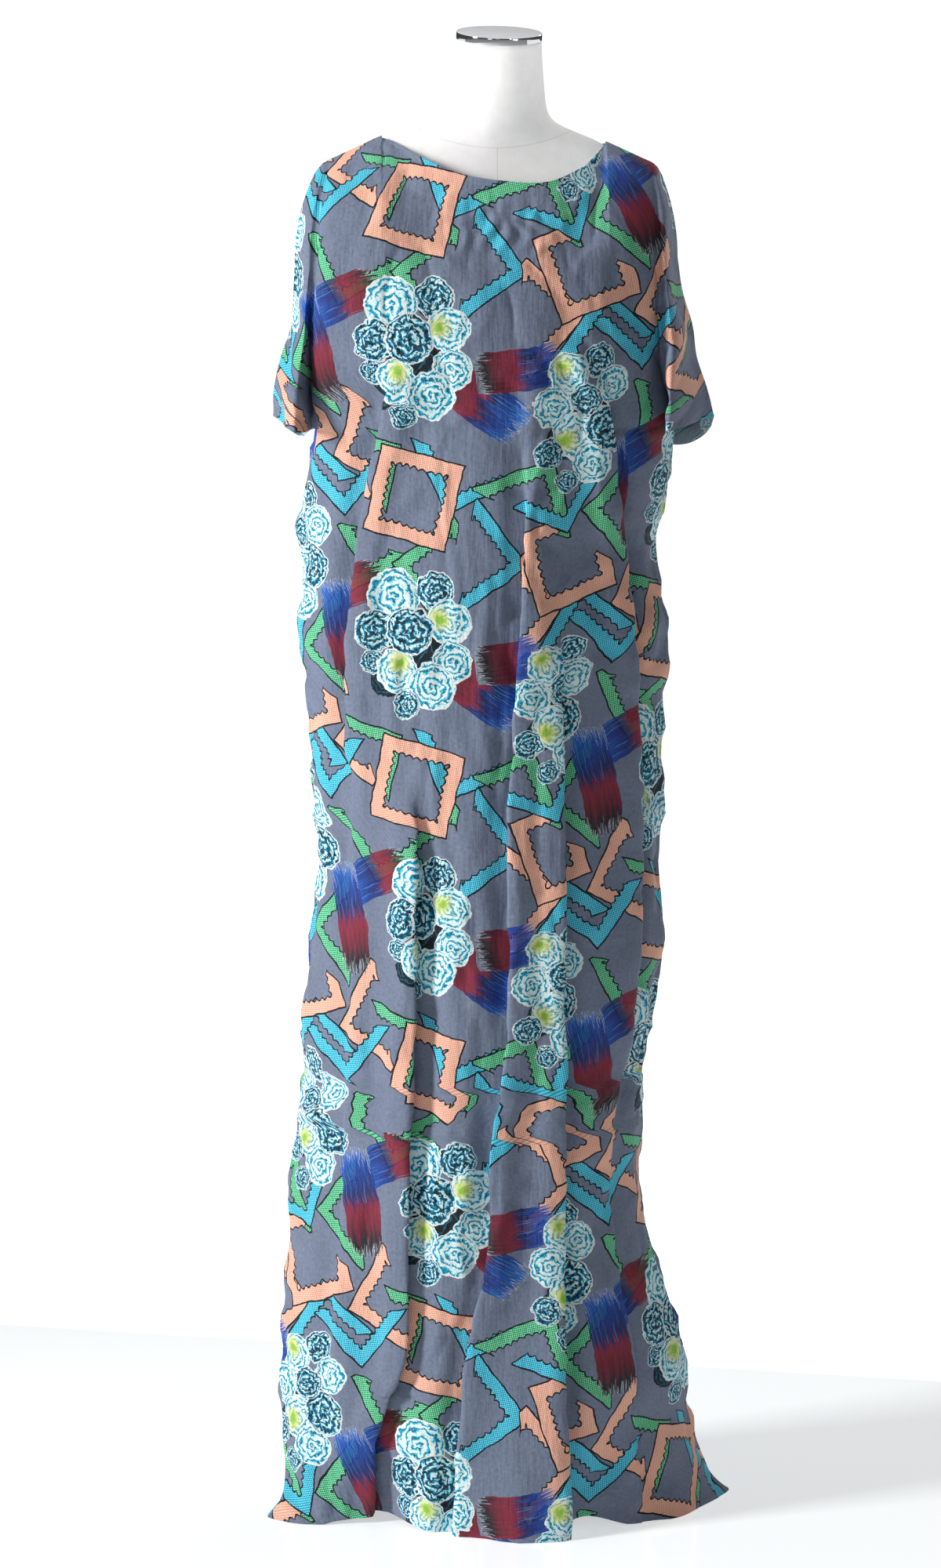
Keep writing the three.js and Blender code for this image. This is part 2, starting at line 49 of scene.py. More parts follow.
class Shade:
    """An output of a material's node. Arithmetic on it adds Math nodes to the material."""

    def __init__(self, material, socket=None):
        self.material = material
        self.socket = socket

    def node(self, kind, inputs=(), output=0, stops=(), **settings):
        """Adds a node, sets it, then gives its sockets values or links, by number or name."""
        made = self.material.node_tree.nodes.new("ShaderNode" + kind)
        for name, value in settings.items():
            setattr(made, name, value)
        for index, (place, colour) in enumerate(stops):
            if index == 0:
                made.color_ramp.elements.remove(made.color_ramp.elements[1])
                made.color_ramp.elements[0].position = place
            else:
                made.color_ramp.elements.new(place)
            made.color_ramp.elements[index].color = colour
        for key, value in dict(inputs).items():
            if isinstance(value, Shade):
                self.material.node_tree.links.new(value.socket, made.inputs[key])
            else:
                made.inputs[key].default_value = value
        return Shade(self.material, made.outputs[output])

    def maths(self, operation, *values):
        return self.node("Math", enumerate(values), operation=operation)

    def __add__(self, other):
        return self.maths("ADD", self, other)

    def __sub__(self, other):
        return self.maths("SUBTRACT", self, other)

    def __rsub__(self, other):
        return self.maths("SUBTRACT", other, self)

    def __mul__(self, other):
        return self.maths("MULTIPLY", self, other)

    def __truediv__(self, other):
        return self.maths("DIVIDE", self, other)

    def __pow__(self, other):
        return self.maths("POWER", self, other)

    def __gt__(self, other):
        return self.maths("GREATER_THAN", self, other)

    def __lt__(self, other):
        return self.maths("LESS_THAN", self, other)

    def __abs__(self):
        return self.maths("ABSOLUTE", self)

    __radd__ = __add__
    __rmul__ = __mul__

    def xyz(self):
        """The three numbers of a vector."""
        split = self.node("SeparateXYZ", {0: self})
        outputs = split.socket.node.outputs
        return [Shade(self.material, output) for output in outputs]

    def mixed(self, colour, share):
        """This colour, or one value or link, turned by a share into another."""
        return self.node("Mix", {0: share, 6: self, 7: colour}, output=2, data_type="RGBA")

    def ramp(self, *stops):
        return self.node("ValToRGB", {0: self}, stops=stops)

    def noise(self, place, scale, detail=2, output=0, **more):
        """A noise texture. Its first output is a value and its second a colour."""
        inputs = {"Vector": place, "Scale": scale, "Detail": detail, **more}
        return self.node("TexNoise", inputs, output)


def dye(red, green, blue):
    """A colour as it shows on a screen, 0 to 255, in the shader's own measure."""
    def linear(value):
        value /= 255
        return value / 12.92 if value <= 0.04045 else ((value + 0.055) / 1.055) ** 2.4
    return (linear(red), linear(green), linear(blue), 1)


def new_finish(name):
    """An empty material, with its Principled shader and its output joined up."""
    material = bpy.data.materials.new(name)
    material.use_nodes = True
    return Shade(material), material.node_tree.nodes["Principled BSDF"]


def set_finish(start, shader, **sockets):
    """Sets or links the Principled shader's sockets, named with low lines for spaces."""
    for key, value in sockets.items():
        target = shader.inputs[key.replace("_", " ")]
        if isinstance(value, Shade):
            start.material.node_tree.links.new(value.socket, target)
        else:
            target.default_value = value
    return start.material


def satin_steel():
    start, shader = new_finish("satin_steel")
    place = start.node("TexCoord", output=3)
    grain = start.noise(place, 900, 3)
    clouds = start.noise(place, 14, 4)
    bump = start.node("Bump", {"Strength": 0.12, "Distance": 0.0002, "Height": grain})
    colour = clouds.ramp((0.35, dye(168, 170, 173)), (0.7, dye(198, 200, 203)))
    return set_finish(start, shader, Base_Color=colour, Metallic=1.0,
                      Roughness=0.26 + 0.12 * clouds, Normal=bump)


steel = satin_steel()
for name in ("base", "pole"):
    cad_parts[name].data.materials.clear()
    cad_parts[name].data.materials.append(steel)


# Dress form
# A moulded torso with its neck, covered in tight off-white linen. The cover is sewn up along
# the centre front and round the foot of the neck.
FORM_CENTRE = -0.0045
NECK_SEAM_HEIGHT = 1.617


def linen():
    start, shader = new_finish("off_white_linen")
    place = start.node("TexCoord", output=3)
    x, y, z = place.xyz()
    warp, weft = [
        start.node("TexWave", {"Vector": place, "Scale": 420, "Distortion": 1.5, "Detail": 2,
                               "Detail Scale": 8}, output=1, bands_direction=direction)
        for direction in "XZ"]
    slub = start.noise(place, 60, 5, Roughness=0.7)
    neck_line = z - NECK_SEAM_HEIGHT - 2.4 * (x - FORM_CENTRE) * (x - FORM_CENTRE)
    centre_seam = (abs(x - FORM_CENTRE) < 0.0005) * (y < 0) * (neck_line < 0)
    neck_seam = (abs(neck_line) < 0.0006) * 0.7
    seams = start.maths("MAXIMUM", centre_seam, neck_seam)
    cloth = slub.ramp((0.3, dye(233, 232, 231)), (0.7, dye(241, 240, 239)))
    colour = cloth.mixed(dye(176, 174, 172), seams * 0.4)
    weave = start.node("Bump", {"Strength": 0.35, "Distance": 0.0003,
                                "Height": warp + weft + 0.6 * slub - 2.0 * seams})
    return set_finish(start, shader, Base_Color=colour, Roughness=0.82, Normal=weave,
                      Sheen_Weight=0.2, Specular_IOR_Level=0.3)


def alone(obj):
    """Selects one object and makes it the active one."""
    bpy.ops.object.select_all(action="DESELECT")
    obj.select_set(True)
    bpy.context.view_layer.objects.active = obj
    return obj


def apply_modifier(obj, kind, **settings):
    alone(obj)
    bpy.ops.object.modifier_add(type=kind)
    modifier = obj.modifiers[-1]
    for name, value in settings.items():
        setattr(modifier, name, value)
    bpy.ops.object.modifier_apply(modifier=modifier.name)


def cover_form():
    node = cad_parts["form_torso"]
    cover = node.copy()
    cover.data = node.data.copy()
    cover.name = "form_cover"
    cover.data.name = "form_cover"
    bpy.context.collection.objects.link(cover)
    cover.parent = None
    cover.matrix_world.identity()
    alone(cover)
    bpy.ops.object.mode_set(mode="EDIT")
    bpy.ops.mesh.select_all(action="SELECT")
    bpy.ops.mesh.remove_doubles(threshold=0.00002)
    bpy.ops.mesh.tris_convert_to_quads()
    bpy.ops.object.mode_set(mode="OBJECT")
    crease = cover.data.attributes.new("crease_edge", "FLOAT", "EDGE")
    low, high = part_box("form_torso")
    for edge in cover.data.edges:
        ends = [cover.data.vertices[index].co.z for index in edge.vertices]
        rims = [min(ends) > high[2] - 0.011, max(ends) < low[2] + 0.001]
        crease.data[edge.index].value = 1.0 if any(rims) else 0.0
    apply_modifier(cover, "SUBSURF", levels=2, render_levels=2)
    cover.data.materials.clear()
    cover.data.materials.append(linen())
    bpy.ops.object.shade_smooth_by_angle(angle=math.radians(50))
    return cover


form_cover = cover_form()
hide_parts("form_torso")
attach(form_cover, "root")


# Neck cap
# A turned disc with a polished chrome rim and a satin top, screwed down on the neck. It leans
# a little forwards and to one side, as the neck does.
CAP_RADIUS = 0.0492
CAP_THICKNESS = 0.0086
CAP_FORWARD_TILT = math.radians(6)
CAP_SIDE_TILT = math.radians(1.6)


def cap_middle():
    low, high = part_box("neck_cap")
    return tuple((a + b) / 2 for a, b in zip(low, high))


def cap_axis():
    return Vector((math.tan(CAP_SIDE_TILT), -math.tan(CAP_FORWARD_TILT), 1)).normalized()


def chrome():
    start, shader = new_finish("chrome")
    place = start.node("TexCoord", output=3)
    smears = start.noise(place, 35, 4, Roughness=0.6)
    turning = start.noise(place, 700, 2)
    bump = start.node("Bump", {"Strength": 0.04, "Distance": 0.0001, "Height": turning})
    colour = smears.ramp((0.3, dye(214, 216, 219)), (0.7, dye(230, 231, 233)))
    from_middle = start.node("VectorMath", {0: place, 1: cap_middle()}, operation="SUBTRACT")
    up = start.node("VectorMath", {0: from_middle, 1: cap_axis()}, output=1,
                    operation="DOT_PRODUCT")
    brushed = up > CAP_THICKNESS / 2 - 0.0004
    colour = colour.mixed(dye(226, 228, 230), brushed)
    return set_finish(start, shader, Base_Color=colour, Metallic=1.0 - 0.85 * brushed,
                      Roughness=0.05 + 0.07 * smears + 0.3 * brushed, Normal=bump)


def turn_cap():
    bpy.ops.object.select_all(action="DESELECT")
    bpy.ops.mesh.primitive_cylinder_add(vertices=128, radius=CAP_RADIUS, depth=CAP_THICKNESS)
    cap = bpy.context.object
    cap.name = "chrome_cap"
    apply_modifier(cap, "BEVEL", width=0.0009, segments=4, limit_method="ANGLE")
    cap.rotation_mode = "QUATERNION"
    cap.rotation_quaternion = Vector((0, 0, 1)).rotation_difference(cap_axis())
    cap.location = cap_middle()
    bpy.ops.object.transform_apply(location=True, rotation=True, scale=True)
    bpy.ops.object.shade_smooth_by_angle(angle=math.radians(40))
    cap.data.materials.append(chrome())
    return cap


chrome_cap = turn_cap()
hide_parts("neck_cap")
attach(chrome_cap, "root")


# Front and back panels
# Two panels of thin printed rayon, each cut in one with its halves of the short wide
# sleeves. They are sewn together over the shoulders and down the sides, and hang in deep
# folds from the shoulders to the floor.
FRONT = -1
BACK = 1
DESIGN_SHIFT = Vector((-0.0025, 0.01123, 0))
CLOTH_THICKNESS = 0.0005
CUFF_HEIGHT = 1.290
CHEST_HEIGHT = 1.485
UNDERARM_GAP = 0.0024
VALLEY_WIDTH = 0.0045
BACK_CUFF_DROP = {"left": (0.024, 1.3), "right": (0.036, 0.72)}
SHOULDER_ENDS = {"left": -0.212, "left_body": -0.197, "right": 0.187, "right_body": 0.174}
SHOULDER_END_HEIGHT = 1.591
SHOULDER_END_DROP = 0.008
SHOULDER_REST = 0.0017
NECK_CORNERS = {"left": -0.135, "right": 0.123}
CHEST_POINT = {"left": 1.05, "right": 1.3}
FOLD_OVERLAP = 0.66
FOLD_RELIEF = 1.3
SEAM_CRUMPLE = 0.0052
FOLD_COLUMNS = [-1, -0.5, -0.2, 0.2, 0.5, 1]
COLUMN_STEPS = 5
ROW_STEPS = 6
SLEEVE_STEPS = 22
SLEEVE_EASE = 0.62
SHOULDER_STEPS = 30
SHOULDER_ROUNDING = 0.060
SLEEVE_TOP_SHARE = 0.93
NECK_EASE = 8 * COLUMN_STEPS


NOT_LENGTHS = ["point", "turn", "tone", "ink"]


def table(names, rows):
    """Rows of millimetres as rows with named columns, in metres."""
    scales = [1 if name in NOT_LENGTHS else 0.001 for name in names.split()]
    return [{name: value * scale for name, value, scale in zip(names.split(), row, scales)}
            for row in rows]


SECTIONS = table("height left right front_depth back_depth left_seam right_seam point", [
    [0, 274, 279, 140, 136, -72, 42, 1.3],
    [25, 256, 256, 139, 134, -60, 32, 1.3],
    [62, 250, 237, 137, 132, -48, 20, 1.35],
    [112, 254, 224, 135, 130, -36, 10, 1.35],
    [168, 260, 226, 133, 128, -24, 0, 1.35],
    [225, 258, 213, 131, 127, -15, -6, 1.35],
    [285, 251, 192, 130, 126, -9, -4, 1.35],
    [345, 243, 173, 129, 125, -4, 0, 1.35],
    [400, 251, 168, 128, 124, 0, 4, 1.35],
    [458, 237, 172, 127, 123, 4, 0, 1.35],
    [515, 232, 167, 127, 122, 0, -4, 1.35],
    [572, 229, 176, 126, 121, -3, -2, 1.35],
    [632, 223, 188, 126, 120, 0, 3, 1.35],
    [700, 218, 192, 125, 119, 3, 0, 1.35],
    [780, 216, 189, 125, 118, 0, -3, 1.35],
    [865, 217, 191, 124, 117, -3, 0, 1.35],
    [940, 216, 194, 124, 116, 0, 3, 1.35],
    [1000, 228, 195, 124, 115, 3, 0, 1.35],
    [1050, 230, 197, 124, 114, -3, -3, 1.35],
    [1104, 226, 189, 124, 113, -2, 3, 1.35],
    [1160, 235, 186, 123, 112, 3, 2, 1.35],
    [1200, 234, 196, 123, 111, 4, -2, 1.3],
    [1240, 218, 200, 122, 110, 1, -1, 1.2],
    [1290, 210, 203, 122, 109, 0, 0, 1.15],
])
CHEST_SECTIONS = table("height front_depth back_depth", [
    [1290, 122, 109],
    [1360, 123, 108],
    [1420, 120, 106],
    [1485, 108, 102],
])
SIDE_SWELL = table("height swell", [[1100, 0], [1240, 7], [1290, 11], [1360, 13], [1485, 3]])
SLEEVES = {
    "left": table("height outer_height outer_x valley_x valley_y bulge lean", [
        [1290, 1305, -262, -210, 0, 88, 0],
        [1324, 1338, -260, -211, 22, 72, 0],
        [1362, 1374, -252, -211, 38, 52, 0],
        [1402, 1410, -240, -211, 48, 38, 0],
        [1443, 1450, -237, -211, 56, 26, 0],
        [1485, 1490, -235, -209, 62, 18, 0],
    ]),
    "right": table("height outer_height outer_x valley_x valley_y bulge lean", [
        [1290, 1305, 250, 203, 0, 92, -32],
        [1324, 1338, 241, 194, 24, 80, -20],
        [1362, 1374, 229, 187, 40, 62, -9],
        [1402, 1410, 224, 183, 50, 46, -2],
        [1443, 1450, 212, 181, 56, 34, 0],
        [1485, 1490, 206, 179, 60, 24, 0],
    ]),
}
SHOULDER_LINE = table("x height", [
    [-212, 1591], [-197, 1598], [-180, 1606], [-160, 1615], [-135, 1626.5],
    [-123, 1627], [112, 1625], [123, 1620], [140, 1612.5], [158, 1604], [174, 1597], [187, 1590.5],
])
NECKLINE = {
    FRONT: table("x y z", [
        [-135, 0, 1626.5], [-124, -14, 1624], [-108, -33, 1616], [-86, -51, 1606],
        [-46, -69, 1590], [3, -77, 1582], [56, -76, 1581], [97, -52, 1597],
        [112, -27, 1609], [123, 0, 1620],
    ]),
    BACK: table("x y z", [
        [-135, 0, 1626.5], [-112, 28, 1620], [-85, 48, 1621], [-40, 63, 1626], [0, 66, 1627],
        [40, 63, 1625], [78, 47, 1619], [103, 27, 1616], [123, 0, 1620],
    ]),
}
FOLD_PATHS = {
    FRONT: table("height a b c d e", [
        [0, -205, -160, -50, 76, 170],
        [100, -200, -150, -45, 74, 165],
        [214, -196, -112, -34, 72, 158],
        [337, -188, -110, -10, 71, 136],
        [450, -182, -106, -7, 71, 132],
        [600, -176, -99, 14, 73, 150],
        [806, -172, -96, 15, 70, 160],
        [913, -172, -95, 17, 68, 156],
        [1050, -168, -92, 26, 68, 150],
        [1096, -164, -88, 29, 68, 146],
        [1216, -150, -80, 30, 69, 133],
        [1337, -126, -66, 29, 68, 125],
        [1485, -130, -62, 22, 62, 122],
        [1600, -135, -60, 10, 52, 123],
    ]),
    BACK: table("height a b c d", [
        [0, -178, -60, 58, 178],
        [300, -150, -52, 48, 128],
        [700, -142, -46, 44, 128],
        [1100, -140, -44, 42, 130],
        [1485, -132, -46, 40, 122],
        [1600, -135, -46, 38, 123],
    ]),
}
FOLDS = {
    FRONT: table("start whole fade gone depth hem_depth width", [
        [1400, 1290, 1000, 860, 15, 5, 20],
        [900, 780, 0, -1, 17, 10, 21],
        [1450, 1000, 0, -1, 13, 14, 17],
        [1140, 940, 0, -1, 15, 20, 18],
        [1430, 1200, 620, 480, 16, 6, 20],
    ]),
    BACK: table("start whole fade gone depth hem_depth width", [
        [1440, 1200, 0, -1, 14, 16, 20],
        [1300, 1000, 0, -1, 12, 14, 20],
        [1380, 1050, 0, -1, 13, 15, 20],
        [1440, 1220, 0, -1, 14, 14, 20],
    ]),
}
RIDGES = {FRONT: [-1, 1, -1, 1, 1], BACK: [1, -1, 1, -1]}
HEM_WAVES = {
    FRONT: table("x width push lift reach", [
        [28, 80, 38, 0, 340],
        [-148, 82, -44, 9, 210],
        [114, 50, -26, 8, 190],
        [205, 48, 12, 0, 130],
    ]),
    BACK: table("x width push lift reach", [
        [-120, 75, 18, 0, 260],
        [-10, 60, -18, 7, 220],
        [105, 70, 20, 0, 260],
    ]),
}
FILLERS = {
    FRONT: [[0, 0.14, 0.4, 0.7], [0.5], [0.35, 0.7], [], [0.5], [0.35, 0.68, 0.9, 1]],
    BACK: [[0, 0.14, 0.4, 0.7], [0.35, 0.7], [0.35, 0.7], [0.35, 0.7], [0.3, 0.6, 0.86, 1]],
}


def read(rows, place, name, by="height"):
    """Reads one column of a table at a height or x, on a smooth curve through its rows."""
    last = len(rows) - 1
    if place <= rows[0][by]:
        return rows[0][name]
    if place >= rows[last][by]:
        return rows[last][name]
    row = next(index for index in range(last) if rows[index + 1][by] >= place)

    def slope(a, b):
        return (rows[b][name] - rows[a][name]) / (rows[b][by] - rows[a][by])

    step = rows[row + 1][by] - rows[row][by]
    start = slope(max(0, row - 1), row + 1)
    end = slope(row, min(last, row + 2))
    t = (place - rows[row][by]) / step
    rise = t * t * (3 - 2 * t)
    bend = start * t * (1 - t) ** 2 - end * t * t * (1 - t)
    return rows[row][name] * (1 - rise) + rows[row + 1][name] * rise + step * bend


def mix(a, b, t):
    return a + (b - a) * t


def clamp(value):
    return min(1, max(0, value))


def ease(t):
    return t * t * (3 - 2 * t)


def bell(distance):
    return (1 + math.cos(math.pi * min(1, abs(distance)))) / 2


class Level:
    """A level section of the body of one panel, before its folds."""

    def __init__(self, side, height):
        self.above = height > CUFF_HEIGHT
        rows = CHEST_SECTIONS if self.above else SECTIONS
        self.depth = side * read(rows, height, "front_depth" if side == FRONT else "back_depth")
        if self.above:
            left, right = SLEEVES["left"], SLEEVES["right"]
            self.reach = [-read(left, height, "valley_x"), read(right, height, "valley_x")]
            self.seam = [side * read(sleeve, height, "valley_y") for sleeve in (left, right)]
            self.point = [CHEST_POINT["left"], CHEST_POINT["right"]]
        else:
            self.reach = [read(SECTIONS, height, "left"), read(SECTIONS, height, "right")]
            self.seam = [read(SECTIONS, height, "left_seam"), read(SECTIONS, height, "right_seam")]
            self.point = [read(SECTIONS, height, "point")] * 2
            crumple = clamp(height / 0.05) * clamp((CUFF_HEIGHT - height) / 0.05)
            for end in (0, 1):
                wobble = noise.noise(Vector((height * 12, end * 5.3, 1.5)))
                wobble += 0.5 * noise.noise(Vector((height * 43, end * 5.3, 8.5)))
                upper = clamp((height - 0.7) / 0.2) if end == 0 else 0
                self.reach[end] += SEAM_CRUMPLE * (1 + 0.9 * upper) * crumple * wobble
        self.swell = read(SIDE_SWELL, height, "swell")
        gap = UNDERARM_GAP * max(0, 1 - abs(height - CUFF_HEIGHT) / 0.008)
        self.gap = side * gap / 2

    def at(self, place):
        """The point at a place from -1 at the left to 1 at the right."""
        end = 0 if place < 0 else 1
        angle = clamp(abs(place)) * math.pi / 2
        swelling = self.swell * bell((abs(place) - 0.75) / 0.25) if place < 0 else 0
        reach = self.reach[end] * (1 if end else -1)
        round_share = max(0, math.cos(angle)) ** self.point[end]
        y = mix(self.seam[end] + self.gap, self.depth, round_share)
        return reach * math.sin(angle) - swelling, y


def fold_depth(fold, height):
    """How far a fold has opened at a height."""
    opened = clamp((fold["start"] - height) / (fold["start"] - fold["whole"]))
    faded = clamp((fold["fade"] - height) / (fold["fade"] - fold["gone"]))
    full = mix(fold["depth"], fold["hem_depth"], clamp(1 - height / 0.7))
    return FOLD_RELIEF * ease(opened) * mix(full, fold["hem_depth"], ease(faded))


def fold_places(side, height, reach, at):
    """The folds' places on a level section, with their half widths in the same measure."""
    found = []
    for name, fold in zip("abcde", FOLDS[side]):
        x = read(FOLD_PATHS[side], height, name)
        place = math.asin(max(-1, min(1, x / reach[0 if x < 0 else 1]))) * 2 / math.pi
        before, after = at(place - 0.01), at(place + 0.01)
        speed = math.hypot(after[0] - before[0], after[1] - before[1]) / 0.02
        found.append((place, fold["width"] / speed))
    return found


def steps_between(values, steps):
    """The values with more, evenly spaced, in between."""
    fine = [mix(a, b, step / steps) for a, b in zip(values, values[1:]) for step in range(steps)]
    return fine + [values[-1]]


def column_places(side, folds):
    """The columns of a panel's body, as places on its level section."""
    main = []
    for index, shares in enumerate(FILLERS[side]):
        start = folds[index - 1][0] + folds[index - 1][1] if index else -1
        end = folds[index][0] - folds[index][1] if index < len(folds) else 1
        main += [mix(start, end, share) for share in shares]
        if index < len(folds):
            main += [folds[index][0] + column * folds[index][1] for column in FOLD_COLUMNS]
    return steps_between(main, COLUMN_STEPS)


def body_point(side, height, place, level, folds):
    """A point of the body at a height, with its folds and hem waves."""
    x, y = level.at(place)
    before, after = level.at(max(-1, place - 0.01)), level.at(min(1, place + 0.01))
    tangent = Vector((after[0] - before[0], after[1] - before[1])).normalized()
    outward = Vector((-side * tangent.y, side * tangent.x))
    ends = clamp((1 - abs(place)) / 0.12)
    along = out = lift = 0
    for fold, ridge, (middle, half) in zip(FOLDS[side], RIDGES[side], folds):
        t = (place - middle) / half
        depth = fold_depth(fold, height)
        hump = (t / 0.7) * math.exp(0.5 - 0.5 * (t / 0.7) ** 2) / 2
        out -= ridge * depth * hump * ends
        if abs(t) < 1:
            overlap = FOLD_OVERLAP * clamp((depth - 0.004) / 0.009)
            along -= fold["width"] * overlap * math.sin(math.pi * t)
    for wave in HEM_WAVES[side]:
        share = bell((x - wave["x"]) / wave["width"]) * clamp(1 - height / wave["reach"]) ** 2
        out += wave["push"] * share * ends
        lift += wave["lift"] * share * ends
    place = Vector((x + tangent.x * along + outward.x * out, y + tangent.y * along + outward.y * out))
    return Vector((place.x, place.y, height + lift))


def sleeve_point(side, rows, height, share):
    """A point of a sleeve, by its share of the way from its outer seam to the valley."""
    outer = read(rows, height, "outer_x")
    valley = read(rows, height, "valley_x") + math.copysign(VALLEY_WIDTH, outer)
    swell = math.sin(math.pi * share ** 1.3)
    fall = clamp((CHEST_HEIGHT - height) / (CHEST_HEIGHT - CUFF_HEIGHT)) ** 3
    longest, leaning = BACK_CUFF_DROP["left" if outer < 0 else "right"]
    drop = longest * math.sin(math.pi * share ** leaning) * fall if side == BACK else 0
    gap = UNDERARM_GAP / 2 * share if height == CUFF_HEIGHT else 0
    return Vector((
        mix(outer, valley, share) + read(rows, height, "lean") * swell,
        side * (gap + read(rows, height, "valley_y") * share + read(rows, height, "bulge") * swell),
        mix(read(rows, height, "outer_height"), height, share) - drop,
    ))


def top_point(side, x):
    """The point where a column meets the shoulder seam or the neckline."""
    if NECK_CORNERS["left"] < x < NECK_CORNERS["right"]:
        line = NECKLINE[side]
        return Vector((x, read(line, x, "y", by="x"), read(line, x, "z", by="x")))
    return Vector((x, 0, read(SHOULDER_LINE, x, "height", by="x") + SHOULDER_REST))


def top_row(side):
    """The top row of a panel: shoulder seam, neckline, shoulder seam."""
    reach = [-SHOULDER_ENDS["left_body"], SHOULDER_ENDS["right_body"]]

    def at(place):
        return math.sin(place * math.pi / 2) * reach[0 if place < 0 else 1], 0

    folds = [(place, half * 0.7) for place, half in fold_places(side, SHOULDER_END_HEIGHT, reach, at)]
    xs = [at(place)[0] for place in column_places(side, folds)]
    last = len(xs) - 1
    left = (len(FILLERS[side][0]) + FOLD_COLUMNS.index(-0.2)) * COLUMN_STEPS
    right = (len(FILLERS[side][-1]) + len(FOLD_COLUMNS) - 1 - FOLD_COLUMNS.index(0.2)) * COLUMN_STEPS
    left_shift = NECK_CORNERS["left"] - xs[left]
    right_shift = NECK_CORNERS["right"] - xs[last - right]
    moved = []
    for index, x in enumerate(xs):
        from_right = last - index
        left_share = index / left if index <= left else 1 - (index - left) / NECK_EASE
        right_share = (from_right / right if from_right <= right
                       else 1 - (from_right - right) / NECK_EASE)
        moved.append(x + left_shift * clamp(left_share) + right_shift * clamp(right_share))
    tops = [top_point(side, x) for x in moved]
    sleeves = []
    for end, body_end in (("left", "left_body"), ("right", "right_body")):
        row = []
        for step in range(SLEEVE_STEPS + 1):
            share = step / SLEEVE_STEPS
            x = mix(SHOULDER_ENDS[end], SHOULDER_ENDS[body_end], share * SLEEVE_TOP_SHARE)
            point = top_point(side, x)
            point.z -= SHOULDER_END_DROP * (1 - share) ** 2
            row.append(point)
        sleeves.append(row)
    return sleeves[0] + tops + sleeves[1][::-1]


def over_shoulder(start, top, share):
    """Carries a column from the chest over the shoulder, or straight up to the neckline."""
    turn = share * math.pi / 2
    roundness = clamp(1 - abs(top.y) / SHOULDER_ROUNDING)
    rise = mix(share, math.sin(turn), roundness)
    reach = mix(1 - share, math.cos(turn) ** 1.5, roundness)
    return Vector((mix(top.x, start.x, math.cos(turn) ** 2), mix(top.y, start.y, reach),
                   mix(start.z, top.z, rise)))


def panel_grid(side):
    """Rows of points for one panel, and the number of the cuff row and the chest row."""
    low = steps_between([row["height"] for row in SECTIONS], ROW_STEPS)
    high = steps_between([row["height"] for row in SLEEVES["left"]], ROW_STEPS)[1:]
    shares = [step / SLEEVE_STEPS for step in range(SLEEVE_STEPS + 1)]
    rows = []
    for height in low + high:
        level = Level(side, height)
        folds = fold_places(side, height, level.reach, level.at)
        body = [body_point(side, height, place, level, folds) for place in column_places(side, folds)]
        if height < CUFF_HEIGHT:
            left = right = [None] * len(shares)
        else:
            left = [sleeve_point(side, SLEEVES["left"], height, share) for share in shares]
            right = [sleeve_point(side, SLEEVES["right"], height, share) for share in shares[::-1]]
        rows.append(left + body + right)
    chest = rows[-1]
    tops = top_row(side)
    for step in range(1, SHOULDER_STEPS + 1):
        share = step / SHOULDER_STEPS
        rows.append([over_shoulder(start, top, share) for start, top in zip(chest, tops)])
    return rows, len(low) - 1, len(low) + len(high) - 1


def flat_places(rows, chest_row):
    """Each point's place on the flat panel: along the weft and up the warp, in metres."""
    columns = len(rows[0])
    flat = [[None] * columns for row in rows]
    for index, row in enumerate(rows):
        filled = [column for column in range(columns) if row[column]]
        centre = min(filled, key=lambda column: abs(row[column].x) + (0 if row[column].y else 1))
        across = {centre: row[centre].x}
        for column in range(centre + 1, filled[-1] + 1):
            eased = SLEEVE_EASE if column > columns - SLEEVE_STEPS - 1 else 1
            across[column] = across[column - 1] + (row[column] - row[column - 1]).length * eased
        for column in range(centre - 1, filled[0] - 1, -1):
            eased = SLEEVE_EASE if column < SLEEVE_STEPS else 1
            across[column] = across[column + 1] - (row[column] - row[column + 1]).length * eased
        for column in filled:
            up = row[column].z
            if index > chest_row:
                up = flat[index - 1][column][1] + (row[column] - rows[index - 1][column]).length
            flat[index][column] = (across[column], up)
    return flat


def normals(side, rows):
    """The outward direction at each point of a grid."""
    found = []
    for index, row in enumerate(rows):
        line = []
        for column, point in enumerate(row):
            if not point:
                line.append(None)
                continue

            def near(r, c):
                inside = 0 <= r < len(rows) and 0 <= c < len(row)
                return rows[r][c] if inside and rows[r][c] else point

            across = near(index, column + 1) - near(index, column - 1)
            up = near(index + 1, column) - near(index - 1, column)
            line.append((across.cross(up) * side).normalized())
        found.append(line)
    return found


